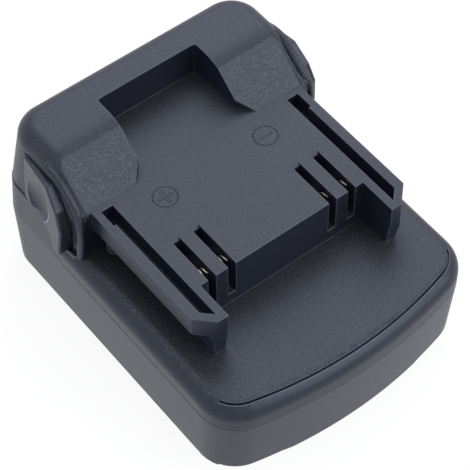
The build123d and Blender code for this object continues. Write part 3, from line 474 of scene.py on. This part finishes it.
def makeMetal(setup):
    material, tree = newMaterial(setup["name"])
    place = addNode(tree, "ShaderNodeTexCoord").outputs["Object"]
    scale = [1 / (s * mm) for s in setup["lineSize"]]
    stretched = addNode(tree, "ShaderNodeMapping", {"Vector": place, "Scale": scale})
    lines = addNode(tree, "ShaderNodeTexNoise", {"Vector": stretched, "Scale": 1.0, "Detail": 4.0})
    patch = {"Vector": place, "Scale": 1 / (metalPatch["size"] * mm), "Detail": 3.0}
    patch = addNode(tree, "ShaderNodeTexNoise", patch)
    low, high = metalPatch["range"]
    dull = addNode(tree, "ShaderNodeMapRange", {"Value": patch, "From Min": low, "From Max": high})
    both = {0: dull, 6: linearOf(setup["colour"]), 7: linearOf(setup["dullColour"])}
    colour = addNode(tree, "ShaderNodeMix", both, data_type="RGBA").outputs[2]
    low, high = setup["roughness"]
    matt = {"Value": lines, **noiseReach, "To Min": low, "To Max": high}
    matt = addNode(tree, "ShaderNodeMapRange", matt)
    bump = addNode(tree, "ShaderNodeBump", {"Height": lines, "Distance": setup["depth"] * mm})
    skin = {"Base Color": colour, "Metallic": 1.0, "Roughness": matt, "Normal": bump}
    skin = addNode(tree, "ShaderNodeBsdfPrincipled", skin)
    addNode(tree, "ShaderNodeOutputMaterial", {"Surface": skin})
    return material


contactMetal = makeMetal(nickelBronze)
springMetal = makeMetal(springSteel)
screwMetal = makeMetal(zincSteel)
dress([n for n in nodes if "contact_" in n and n != "contact_carrier"], contactMetal)
dress([n for n in nodes if n.startswith("battery_blade")], contactMetal)
print("contact, spring and screw metals made")


# epoxy glass board under green solder mask: copper tracks show through the mask as paler green
senseBoard = {
    "maskColour": "#0f3d22",
    "trackColour": "#1d6b3a",
    "weaveColour": "#0c3119",
    "trackPitch": 2.4,        # mm, half the way along X from one slanting track to the next
    "bandsPerUnit": 3.18,     # of the wave texture
    "trackRange": (0.68, 0.74),
    "bendSize": 7.0,          # mm, roughly how far a track runs before it steps aside
    "bendStep": 0.2,
    "weave": 0.5,             # mm
    "roughness": (0.22, 0.34),
    "depth": 0.035,           # mm, a copper track's height
    "ior": 1.52,
}


def makeBoardMask(setup):
    material, tree = newMaterial("solderMaskedBoard")
    place = addNode(tree, "ShaderNodeTexCoord").outputs["Object"]
    bend = {"Vector": place, "Scale": 1 / (setup["bendSize"] * mm), "Detail": 0.0}
    bend = addNode(tree, "ShaderNodeTexNoise", bend)
    snap = {0: bend.outputs["Color"], 1: (setup["bendStep"],) * 3}
    snap = addNode(tree, "ShaderNodeVectorMath", snap, operation="SNAP")
    shift = {0: snap, 1: (setup["trackPitch"] * mm,) * 3, 2: place}
    shift = addNode(tree, "ShaderNodeVectorMath", shift, operation="MULTIPLY_ADD")
    waves = {"Vector": shift, "Scale": 1 / (setup["bandsPerUnit"] * setup["trackPitch"] * mm)}
    track = addNode(tree, "ShaderNodeTexWave", waves, bands_direction="DIAGONAL")
    low, high = setup["trackRange"]
    track = addNode(tree, "ShaderNodeMapRange", {"Value": track, "From Min": low, "From Max": high})
    cloth = {"Vector": place, "Scale": 1 / (setup["weave"] * mm)}
    cloth = addNode(tree, "ShaderNodeTexChecker", cloth).outputs["Fac"]
    ground = {0: cloth, 6: linearOf(setup["maskColour"]), 7: linearOf(setup["weaveColour"])}
    ground = addNode(tree, "ShaderNodeMix", ground, data_type="RGBA").outputs[2]
    both = {0: track, 6: ground, 7: linearOf(setup["trackColour"])}
    colour = addNode(tree, "ShaderNodeMix", both, data_type="RGBA").outputs[2]
    low, high = setup["roughness"]
    matt = addNode(tree, "ShaderNodeMapRange", {"Value": bend, "To Min": low, "To Max": high})
    bump = addNode(tree, "ShaderNodeBump", {"Height": track, "Distance": setup["depth"] * mm})
    skin = {"Base Color": colour, "Roughness": matt, "IOR": setup["ior"], "Normal": bump}
    skin = addNode(tree, "ShaderNodeBsdfPrincipled", skin)
    addNode(tree, "ShaderNodeOutputMaterial", {"Surface": skin})
    return material


dress(["sense_board"], makeBoardMask(senseBoard))


# small plastic parts, each of two near tones: moulded epoxy of the chip and resistors is matt, while the
# soft PVC of the leads and the sleeve shrunk on the capacitor have a satin skin
smallPlastics = {
    # name: colour, pale colour, roughness, grain and its depth in mm
    "mouldedEpoxy": ("#141416", "#1c1c1f", (0.45, 0.6), 0.12, 0.006),
    "capacitorSleeve": ("#15203f", "#1b2a52", (0.25, 0.38), 0.3, 0.006),
    "redPvc": ("#8c1210", "#a31916", (0.28, 0.42), 0.3, 0.01),
    "blackPvc": ("#0e0e10", "#17171a", (0.28, 0.42), 0.3, 0.01),
    "greyPvc": ("#5c5f63", "#6e7276", (0.3, 0.45), 0.3, 0.01),
}
plasticCloud = 12             # size of a patch of one tone against the grain
plasticIor = 1.54


def makePlastic(name, hexColour, paleColour, roughness, grain, depth):
    material, tree = newMaterial(name)
    place = addNode(tree, "ShaderNodeTexCoord").outputs["Object"]
    fine = addNode(tree, "ShaderNodeTexNoise", {"Vector": place, "Scale": 1 / (grain * mm)})
    tone = {"Vector": place, "Scale": 1 / (plasticCloud * grain * mm)}
    tone = addNode(tree, "ShaderNodeTexNoise", tone)
    both = {0: tone, 6: linearOf(hexColour), 7: linearOf(paleColour)}
    colour = addNode(tree, "ShaderNodeMix", both, data_type="RGBA").outputs[2]
    low, high = roughness
    matt = addNode(tree, "ShaderNodeMapRange", {"Value": fine, "To Min": low, "To Max": high})
    bump = addNode(tree, "ShaderNodeBump", {"Height": fine, "Distance": depth * mm})
    skin = {"Base Color": colour, "Roughness": matt, "IOR": plasticIor, "Normal": bump}
    skin = addNode(tree, "ShaderNodeBsdfPrincipled", skin)
    addNode(tree, "ShaderNodeOutputMaterial", {"Surface": skin})
    return material


plastics = {name: makePlastic(name, *facts) for name, facts in smallPlastics.items()}
dress(["board_components"], plastics["mouldedEpoxy"])
print("board and small plastics made")


def newTree(name, inputs, takesLine=False):
    tree = bpy.data.node_groups.new(name, "GeometryNodeTree")
    tree.interface.new_socket("Geometry", in_out="OUTPUT", socket_type="NodeSocketGeometry")
    if takesLine:
        tree.interface.new_socket("Line", in_out="INPUT", socket_type="NodeSocketGeometry")
    for label, kind in inputs.items():
        tree.interface.new_socket(label, in_out="INPUT", socket_type=kind)
    return tree, addNode(tree, "NodeGroupInput").outputs


def closeTree(tree, shape, material=None):
    # a tree of several materials has set them before, and gives none here
    done = addNode(tree, "GeometryNodeRealizeInstances", {0: shape})
    if material:
        done = addNode(tree, "GeometryNodeSetMaterial", {"Geometry": done, "Material": material})
    addNode(tree, "NodeGroupOutput", {0: done})
    return tree


def finishedPiece(name, tree, values, points=(), runs=()):
    # the result of a tree of geometry nodes as a plain mesh, with the modifier gone
    piece = bpy.data.objects.new(name, bpy.data.meshes.new(name))
    piece.data.from_pydata(points, runs, [])
    bpy.context.scene.collection.objects.link(piece)
    modifier = piece.modifiers.new("build", "NODES")
    modifier.node_group = tree
    for item in tree.interface.items_tree:
        if item.item_type == "SOCKET" and item.in_out == "INPUT" and item.name in values:
            modifier[item.identifier] = values[item.name]
    bpy.context.view_layer.update()
    ready = piece.evaluated_get(bpy.context.evaluated_depsgraph_get())
    mesh = bpy.data.meshes.new_from_object(ready)
    piece.modifiers.clear()
    piece.data = mesh
    return piece


def inMetres(points, side=1):
    return [(side * x * mm, y * mm, z * mm) for x, y, z in points]


# the coil springs behind the latch buttons, wound from round wire. Here and below, a key with a capital
# is also the name of an input of the piece's tree
latchSpring = {
    "Turns": 6.0,
    "Coil Radius": 2.15 * mm,
    "Wire Radius": 0.35 * mm,
    "stepsPerTurn": 24,
    "wireSides": 10,
    "travel": 2.5,            # mm that a press takes from its length
}


def springTree(setup):
    number, vector = "NodeSocketFloat", "NodeSocketVector"
    kinds = {"Turns": number, "Coil Radius": number, "Wire Radius": number, "Length": number}
    tree, given = newTree("coilSpring", {**kinds, "Start": vector})
    helix = addNode(tree, "GeometryNodeCurveSpiral", {
        "Resolution": setup["stepsPerTurn"],
        "Rotations": given["Turns"],
        "Start Radius": given["Coil Radius"],
        "End Radius": given["Coil Radius"],
        "Height": given["Length"],
    })
    ring = {"Resolution": setup["wireSides"], "Radius": given["Wire Radius"]}
    ring = addNode(tree, "GeometryNodeCurvePrimitiveCircle", ring)
    wire = {"Curve": helix, "Profile Curve": ring, "Fill Caps": True}
    wire = addNode(tree, "GeometryNodeCurveToMesh", wire)
    turned = {"Geometry": wire, "Translation": given["Start"], "Rotation": (0, math.pi / 2, 0)}
    turned = addNode(tree, "GeometryNodeTransform", turned)
    return closeTree(tree, turned, springMetal)


def fitSprings(setup):
    tree = springTree(setup)
    for side, joint in (("left", "latch_left_press"), ("right", "latch_right_press")):
        low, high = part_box(f"latch_spring_{side}")
        wire = setup["Wire Radius"]
        middle = [(low[i] + high[i]) / 2 for i in range(3)]
        values = {name: setup[name] for name in ("Turns", "Coil Radius", "Wire Radius")}
        values["Length"] = high[0] - low[0] - 2 * wire
        values["Start"] = (low[0] + wire, middle[1], middle[2])
        piece = finishedPiece(f"coilSpring{side.title()}", tree, values)
        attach(piece, "case")
        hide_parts(f"latch_spring_{side}")
        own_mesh(piece)


fitSprings(latchSpring)
print("latch springs wound")


# thread-forming screws for plastic: pan head with a cross recess, coarse thread on a thin core
screwSets = {
    # node: shank radius, head radius, head height, thread pitch, all in mm
    "case_screws": (1.5, 2.8, 2.0, 1.3),
    "carrier_screws": (1.0, 2.0, 1.4, 0.9),
    "board_screws": (1.0, 2.0, 1.4, 0.9),
    "blade_block_screws": (1.0, 2.0, 1.4, 0.9),
}
screwShape = {
    "coreShare": 0.78,        # core against thread
    "crownShare": 0.72,       # flat of the head against its rim
    "recessShare": 0.62,      # length of the cross against the head
    "recessDepthShare": 0.6,
    "slitShare": 0.16,        # width of one arm of the cross
    "sides": 28,              # of the shank, and steps in one turn of the thread
    "ridgeSides": 4,
    "rowShare": 3.0,          # a node longer than this many head radii holds two rows of screws
    "frontCut": 3.76,         # mm by which the front one of two rows is shorter
}


def screwTree(setup):
    number = "NodeSocketFloat"
    kinds = {"Core Radius": number, "Thread Size": number, "Length": number, "Turns": number}
    kinds.update({"Head Radius": number, "Crown Radius": number, "Head Height": number})
    vectors = ("Shank Middle", "Thread Start", "Long Slit", "Cross Slit")
    kinds.update({label: "NodeSocketVector" for label in vectors})
    tree, given = newTree("threadFormingScrew", kinds, takesLine=True)
    shank = {"Vertices": setup["sides"], "Radius": given["Core Radius"], "Depth": given["Length"]}
    shank = addNode(tree, "GeometryNodeMeshCylinder", shank)
    shank = {"Geometry": shank, "Translation": given["Shank Middle"]}
    shank = addNode(tree, "GeometryNodeTransform", shank)
    helix = addNode(tree, "GeometryNodeCurveSpiral", {
        "Resolution": setup["sides"],
        "Rotations": given["Turns"],
        "Start Radius": given["Core Radius"],
        "End Radius": given["Core Radius"],
        "Height": given["Length"],
    })
    ridge = {"Resolution": setup["ridgeSides"], "Radius": given["Thread Size"]}
    ridge = addNode(tree, "GeometryNodeCurvePrimitiveCircle", ridge)
    thread = {"Curve": helix, "Profile Curve": ridge, "Fill Caps": True}
    thread = addNode(tree, "GeometryNodeCurveToMesh", thread)
    thread = {"Geometry": thread, "Translation": given["Thread Start"]}
    thread = addNode(tree, "GeometryNodeTransform", thread)
    head = addNode(tree, "GeometryNodeMeshCone", {
        "Vertices": 2 * setup["sides"],
        "Radius Top": given["Head Radius"],
        "Radius Bottom": given["Crown Radius"],
        "Depth": given["Head Height"],
    })
    slits = ("Long Slit", "Cross Slit")
    slits = [addNode(tree, "GeometryNodeMeshCube", {"Size": given[slit]}) for slit in slits]
    recess = addNode(tree, "GeometryNodeJoinGeometry", {0: slits})
    cut = {"Mesh 1": head, "Mesh 2": recess, "Self Intersection": True}
    head = addNode(tree, "GeometryNodeMeshBoolean", cut, operation="DIFFERENCE", solver="EXACT")
    whole = addNode(tree, "GeometryNodeJoinGeometry", {0: [shank, thread, head]})
    placed = {"Points": given["Line"], "Instance": whole}
    placed = addNode(tree, "GeometryNodeInstanceOnPoints", placed)
    return closeTree(tree, placed, screwMetal)


def screwValues(setup, shank, head, height, pitch, length):
    core = shank * setup["coreShare"]
    depth = 2 * height * setup["recessDepthShare"]
    long, thin = 2 * head * setup["recessShare"], 2 * head * setup["slitShare"]
    sizes = {
        "Core Radius": core,
        "Thread Size": shank - core,
        "Length": length,
        "Head Radius": head,
        "Crown Radius": head * setup["crownShare"],
        "Head Height": height,
        "Shank Middle": (0, 0, height + 0.5 * length),
        "Thread Start": (0, 0, height),
        "Long Slit": (long, thin, depth),
        "Cross Slit": (thin, long, depth),
    }
    values = {"Turns": length / pitch}
    for label, size in sizes.items():
        values[label] = tuple(s * mm for s in size) if isinstance(size, tuple) else size * mm
    return values


def driveScrews(setup, sets):
    tree = screwTree(setup)
    for node, (shank, head, height, pitch) in sets.items():
        low, high = (Vector(c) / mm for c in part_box(node))
        xs = (low.x + head, high.x - head)
        twoRows = high.y - low.y > setup["rowShare"] * head
        rows = [low.y + head, high.y - head] if twoRows else [(low.y + high.y) / 2]
        for count, row in enumerate(rows):
            length = high.z - low.z - height
            if twoRows and count == 0:
                length -= setup["frontCut"]
            values = screwValues(setup, shank, head, height, pitch, length)
            places = inMetres([(x, row, low.z) for x in xs])
            piece = finishedPiece(f"{node}{count}", tree, values, places)
            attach(piece, "case")
            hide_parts(node)


driveScrews(screwShape, screwSets)
print("screws driven")


# the bead beside each latch button, from the tower's side to the deck
latchRib = {
    "route": [
        # its middle line on the right side, from the top down, in mm
        (34.1, 34.6, 46.6),
        (34.7, 32.2, 46.75),
        (34.75, 29.2, 46.9),
        (34.65, 25.7, 46.3),
        (34.55, 23.0, 45.0),
        (34.55, 20.7, 43.4),
        (34.6, 18.4, 41.6),
        (34.8, 16.6, 39.4),
        (35.0, 15.85, 36.3),
        (35.1, 15.7, 31.7),
        (35.3, 15.75, 28.0),
        (35.5, 15.85, 25.2),
    ],
    "Radius": 1.2 * mm,
    "Fade": 0.25,             # share of its length over which it grows out of the case
    "tipShare": 0.4,          # its radius at that end against the rest
    "Steps": 80,
    "sides": 16,
}


def ribTree(setup, material):
    number = "NodeSocketFloat"
    kinds = {"Radius": number, "Fade": number, "Steps": "NodeSocketInt"}
    tree, given = newTree("latchRib", kinds, takesLine=True)
    line = addNode(tree, "GeometryNodeMeshToCurve", {"Mesh": given["Line"]})
    line = addNode(tree, "GeometryNodeCurveSplineType", {"Curve": line}, spline_type="CATMULL_ROM")
    line = addNode(tree, "GeometryNodeResampleCurve", {"Curve": line, "Count": given["Steps"]})
    along = addNode(tree, "GeometryNodeSplineParameter").outputs["Factor"]
    grow = {"Value": along, "From Max": given["Fade"], "To Min": setup["tipShare"]}
    grow = addNode(tree, "ShaderNodeMapRange", grow, interpolation_type="SMOOTHSTEP")
    ring = {"Resolution": setup["sides"], "Radius": given["Radius"]}
    ring = addNode(tree, "GeometryNodeCurvePrimitiveCircle", ring)
    bead = {"Curve": line, "Profile Curve": ring, "Scale": grow, "Fill Caps": True}
    bead = addNode(tree, "GeometryNodeCurveToMesh", bead)
    return closeTree(tree, bead, material)


def layRibs(setup, material):
    tree = ribTree(setup, material)
    runs = [(i, i + 1) for i in range(len(setup["route"]) - 1)]
    values = {name: setup[name] for name in ("Radius", "Fade", "Steps")}
    for side, sign in (("left", -1), ("right", 1)):
        points = inMetres(setup["route"], sign)
        piece = finishedPiece(f"latchRib{side.title()}", tree, values, points, runs)
        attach(piece, "case")


layRibs(latchRib, upperNylon)
print("ribs laid")


# the leads inside the case: stranded copper in soft PVC, bare at both ends
leadSet = {
    # node: radius in mm, plastic, slot
    "positive_lead": (1.0, "redPvc", "red_insulation"),
    "negative_lead": (1.0, "blackPvc", "black_insulation"),
    "sense_leads": (0.6, "greyPvc", "grey_insulation"),
}
leadShape = {
    "Bare": 0.07,             # share of the length without insulation at each end
    "coreShare": 0.62,        # bare strand against the insulation
    "Steps": 48,
    "sides": 16,
    "crossing": (0.3, 0.7),   # between these shares of its span a power lead crosses over
    "senseStraight": 5.0,     # mm that a sense lead runs straight back from its contact
    "senseEnd": 4.4,          # mm from the middle to where it meets the board
}
copperStrand = {
    "name": "bareCopperStrand",
    "colour": "#c98a62",
    "dullColour": "#8f5d40",
    "lineSize": (0.18, 3.0, 0.18),
    "roughness": (0.25, 0.45),
    "depth": 0.02,
}


def leadTree(setup, name, plastic, copper):
    number = "NodeSocketFloat"
    kinds = {"Radius": number, "Core Radius": number, "Bare": number, "Steps": "NodeSocketInt"}
    tree, given = newTree(name, kinds, takesLine=True)
    line = addNode(tree, "GeometryNodeMeshToCurve", {"Mesh": given["Line"]})
    line = addNode(tree, "GeometryNodeCurveSplineType", {"Curve": line}, spline_type="CATMULL_ROM")
    line = addNode(tree, "GeometryNodeResampleCurve", {"Curve": line, "Count": given["Steps"]})
    far = addNode(tree, "ShaderNodeMath", {0: 1.0, 1: given["Bare"]}, operation="SUBTRACT")
    jacket = {"Curve": line, "Start": given["Bare"], "End": far}
    jacket = addNode(tree, "GeometryNodeTrimCurve", jacket)
    parts = []
    for curve, size, material in ((line, "Core Radius", copper), (jacket, "Radius", plastic)):
        ring = {"Resolution": setup["sides"], "Radius": given[size]}
        ring = addNode(tree, "GeometryNodeCurvePrimitiveCircle", ring)
        tube = {"Curve": curve, "Profile Curve": ring, "Fill Caps": True}
        tube = addNode(tree, "GeometryNodeCurveToMesh", tube)
        parts.append(addNode(tree, "GeometryNodeSetMaterial", {"Geometry": tube, "Material": material}))
    return closeTree(tree, addNode(tree, "GeometryNodeJoinGeometry", {0: parts}))


def leadRoute(setup, node, low, high, radius):
    # four points for each lead, from the box of the solid one
    left, right = low.x + radius, high.x - radius
    start, end = low.z + radius, high.z - radius
    if node == "sense_leads":
        far, inner = high.y - radius, setup["senseEnd"]
        half = [
            (right, low.y, start),
            (right, low.y + setup["senseStraight"], start),
            (inner, far, start),
            (inner, far, high.z),
        ]
        return half + [(-x, y, z) for x, y, z in half]
    blade, contact = (right, left) if node == "positive_lead" else (left, right)
    leave, arrive = (low.y + share * (high.y - low.y) for share in setup["crossing"])
    return [(blade, low.y, start), (blade, leave, start), (contact, arrive, end), (contact, high.y, end)]


def layLeads(setup, sets):
    copper = makeMetal(copperStrand)
    for node, (radius, plastic, slot) in sets.items():
        low, high = (Vector(c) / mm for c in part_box(node))
        points = leadRoute(setup, node, low, high, radius)
        runs = [(i, i + 1) for i in range(len(points) - 1) if i % 4 != 3]
        tree = leadTree(setup, f"{node}Tree", plastics[plastic], copper)
        values = {"Radius": radius * mm, "Core Radius": radius * setup["coreShare"] * mm}
        values.update({name: setup[name] for name in ("Bare", "Steps")})
        piece = finishedPiece(f"{node}Insulated", tree, values, inMetres(points), runs)
        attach(piece, "case")
        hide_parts(node)


layLeads(leadShape, leadSet)
print("leads laid")


# the fork contacts: two sprung leaves whose ends curl apart and whose front stands up, on one foot.
# Sizes in mm
forkContact = {
    "nodes": [
        "tool_contact_positive",
        "tool_contact_negative",
        "sense_contact_left",
        "sense_contact_right",
    ],
    "thickness": 0.4,
    "stations": 15,
    "endGap": 0.62,           # half gap between the leaves at their ends
    "pinchGap": 0.2,          # and where they pinch the blade
    "pinchShare": 0.4,        # where that is along them
    "curl": 1.6,              # how fast the gap opens on both sides of it
    "lobeLength": 3.0,        # the high front lobe
    "lobeLevel": 0.7,         # share of it that stays level
    "lowerBy": 4.2,           # how much lower the leaves are behind it
    "lobeDrop": 0.06,         # share of that by which the lobe is lower too
    "tipShare": 0.6,          # share of the lobe that the tip takes
    "tipLift": 0.2,
    "baseRise": 9.3,          # from the foot's lower end to the leaves' lower edge
    "footWidth": 1.9,
    "footPlace": (3.1, 4.4),  # where the foot starts and how long it is
}


def closedSkin(rings):
    # a closed skin over rings of four corners each
    corners = [corner for ring in rings for corner in ring]
    faces = [(0, 1, 2, 3), tuple(len(corners) - 1 - i for i in range(4))]
    for k in range(len(rings) - 1):
        for i in range(4):
            j = (i + 1) % 4
            faces.append((4 * k + i, 4 * k + 4 + i, 4 * k + 4 + j, 4 * k + j))
    return corners, faces


def forkSkins(setup, low, high):
    length = high.y - low.y
    base, middle = low.z + setup["baseRise"], 0.5 * (low.x + high.x)
    pinch, drop = setup["pinchShare"], setup["lobeDrop"]
    skins = []
    for side in (-1, 1):
        rings = []
        for k in range(setup["stations"]):
            along = k / (setup["stations"] - 1)
            bend = (along - pinch) / max(pinch, 1 - pinch)
            opened = min(bend * bend * setup["curl"], 1.0)
            inner = setup["pinchGap"] + (setup["endGap"] - setup["pinchGap"]) * opened
            outer = inner + setup["thickness"]
            reach = along * length / setup["lobeLength"]
            fall = 0.5 - 0.5 * math.cos(math.pi * min(max(reach - setup["lobeLevel"], 0), 1))
            top = high.z - setup["lowerBy"] * (drop + (1 - drop) * fall)
            if reach < setup["tipShare"]:
                top += setup["tipLift"]
            top = min(top, high.z)
            ring = [(inner, base), (outer, base), (outer, top), (inner, top)]
            ring = ring if side > 0 else ring[::-1]
            rings.append([(middle + side * x, low.y + along * length, z) for x, z in ring])
        skins.append(closedSkin(rings))
    start, run = setup["footPlace"]
    half, top = 0.5 * setup["footWidth"], base + setup["thickness"]
    corners = [(-half, low.z), (half, low.z), (half, top), (-half, top)]
    ends = [[(middle + x, low.y + y, z) for x, z in corners] for y in (start, start + run)]
    skins.append(closedSkin(ends))
    return skins


def bendContacts(setup):
    for node in setup["nodes"]:
        low, high = (Vector(c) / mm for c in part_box(node))
        corners, faces = [], []
        for points, loops in forkSkins(setup, low, high):
            faces += [tuple(i + len(corners) for i in loop) for loop in loops]
            corners += points
        mesh = bpy.data.meshes.new(f"{node}Fork")
        mesh.from_pydata(inMetres(corners), [], faces)
        mesh.materials.append(contactMetal)
        piece = bpy.data.objects.new(f"{node}Fork", mesh)
        bpy.context.scene.collection.objects.link(piece)
        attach(piece, "case")
        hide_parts(node)


bendContacts(forkContact)
print("fork contacts bent")


# what stands on the sense board: a chip on gull-wing legs, two resistors and a sleeved capacitor
boardParts = {
    "chip": ((4.9, 2.8, 1.05), (0, 7.0, 30.775)),         # size and middle, in mm
    "legRoute": [(0, -0.62, 0.08), (0, -0.3, 0.08), (0, -0.18, 0.3), (0, -0.1, 0.66), (0, 0.15, 0.7)],
    "Leg Size": (0.4, 0.15),  # mm, width and thickness
    "Leg Count": 4,
    "legPitch": 1.27,
    "resistors": [(-5.5, 3.25, 30.4), (5.5, 3.25, 30.4)],
    "resistorBody": (2.4, 1.5, 0.7),
    "resistorCap": (0.45, 1.6, 0.8),
    "capacitorFoot": (0, 11.85, 30.0),
    "capacitorStages": [
        # radius below, radius above, height, material
        (2.5, 2.5, 0.4, "resin"),
        (2.35, 2.35, 0.3, "sleeve"),
        (2.45, 2.45, 3.4, "sleeve"),
        (2.45, 2.15, 0.3, "sleeve"),
        (2.05, 2.05, 0.1, "metal"),
    ],
    "sides": 48,
}


def movedTo(tree, shape, place, material, turn=0.0):
    moved = {"Geometry": shape, "Translation": [c * mm for c in place], "Rotation": (0, 0, turn)}
    moved = addNode(tree, "GeometryNodeTransform", moved)
    return addNode(tree, "GeometryNodeSetMaterial", {"Geometry": moved, "Material": material})


def boardTree(setup, finishes):
    number = "NodeSocketFloat"
    kinds = {"Leg Width": number, "Leg Thickness": number, "Leg Count": "NodeSocketInt"}
    kinds["Leg Step"] = "NodeSocketVector"
    tree, given = newTree("boardParts", kinds, takesLine=True)
    size, middle = setup["chip"]
    body = addNode(tree, "GeometryNodeMeshCube", {"Size": [c * mm for c in size]})
    parts = [movedTo(tree, body, middle, finishes["resin"])]
    strip = addNode(tree, "GeometryNodeMeshToCurve", {"Mesh": given["Line"]})
    section = {"Width": given["Leg Width"], "Height": given["Leg Thickness"]}
    section = addNode(tree, "GeometryNodeCurvePrimitiveQuadrilateral", section)
    leg = {"Curve": strip, "Profile Curve": section, "Fill Caps": True}
    leg = addNode(tree, "GeometryNodeCurveToMesh", leg)
    first = -0.5 * (setup["Leg Count"] - 1) * setup["legPitch"]
    row = {"Count": given["Leg Count"], "Offset": given["Leg Step"]}
    row["Start Location"] = (first * mm, 0, 0)
    row = addNode(tree, "GeometryNodeMeshLine", row)
    legs = addNode(tree, "GeometryNodeInstanceOnPoints", {"Points": row, "Instance": leg})
    for side, turn in ((-1, 0.0), (1, math.pi)):
        place = (middle[0], middle[1] + side * 0.5 * size[1], setup["capacitorFoot"][2])
        parts.append(movedTo(tree, legs, place, finishes["metal"], turn))
    body = addNode(tree, "GeometryNodeMeshCube", {"Size": [c * mm for c in setup["resistorBody"]]})
    cap = addNode(tree, "GeometryNodeMeshCube", {"Size": [c * mm for c in setup["resistorCap"]]})
    reach = 0.5 * (setup["resistorBody"][0] + setup["resistorCap"][0])
    for x, y, z in setup["resistors"]:
        parts.append(movedTo(tree, body, (x, y, z), finishes["resin"]))
        parts += [movedTo(tree, cap, (x + side * reach, y, z), finishes["metal"]) for side in (-1, 1)]
    x, y, z = setup["capacitorFoot"]
    for below, above, height, finish in setup["capacitorStages"]:
        stage = addNode(tree, "GeometryNodeMeshCone", {
            "Vertices": setup["sides"],
            "Radius Bottom": below * mm,
            "Radius Top": above * mm,
            "Depth": height * mm,
        })
        parts.append(movedTo(tree, stage, (x, y, z), finishes[finish]))
        z += height
    return closeTree(tree, addNode(tree, "GeometryNodeJoinGeometry", {0: parts}))


def fillBoard(setup):
    resin, sleeve = plastics["mouldedEpoxy"], plastics["capacitorSleeve"]
    tree = boardTree(setup, {"resin": resin, "sleeve": sleeve, "metal": contactMetal})
    width, thickness = setup["Leg Size"]
    values = {"Leg Width": width * mm, "Leg Thickness": thickness * mm, "Leg Count": setup["Leg Count"]}
    values["Leg Step"] = (setup["legPitch"] * mm, 0, 0)
    route = setup["legRoute"]
    runs = [(i, i + 1) for i in range(len(route) - 1)]
    piece = finishedPiece("boardParts", tree, values, inMetres(route), runs)
    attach(piece, "case")
    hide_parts("board_components")


fillBoard(boardParts)
print("board filled")
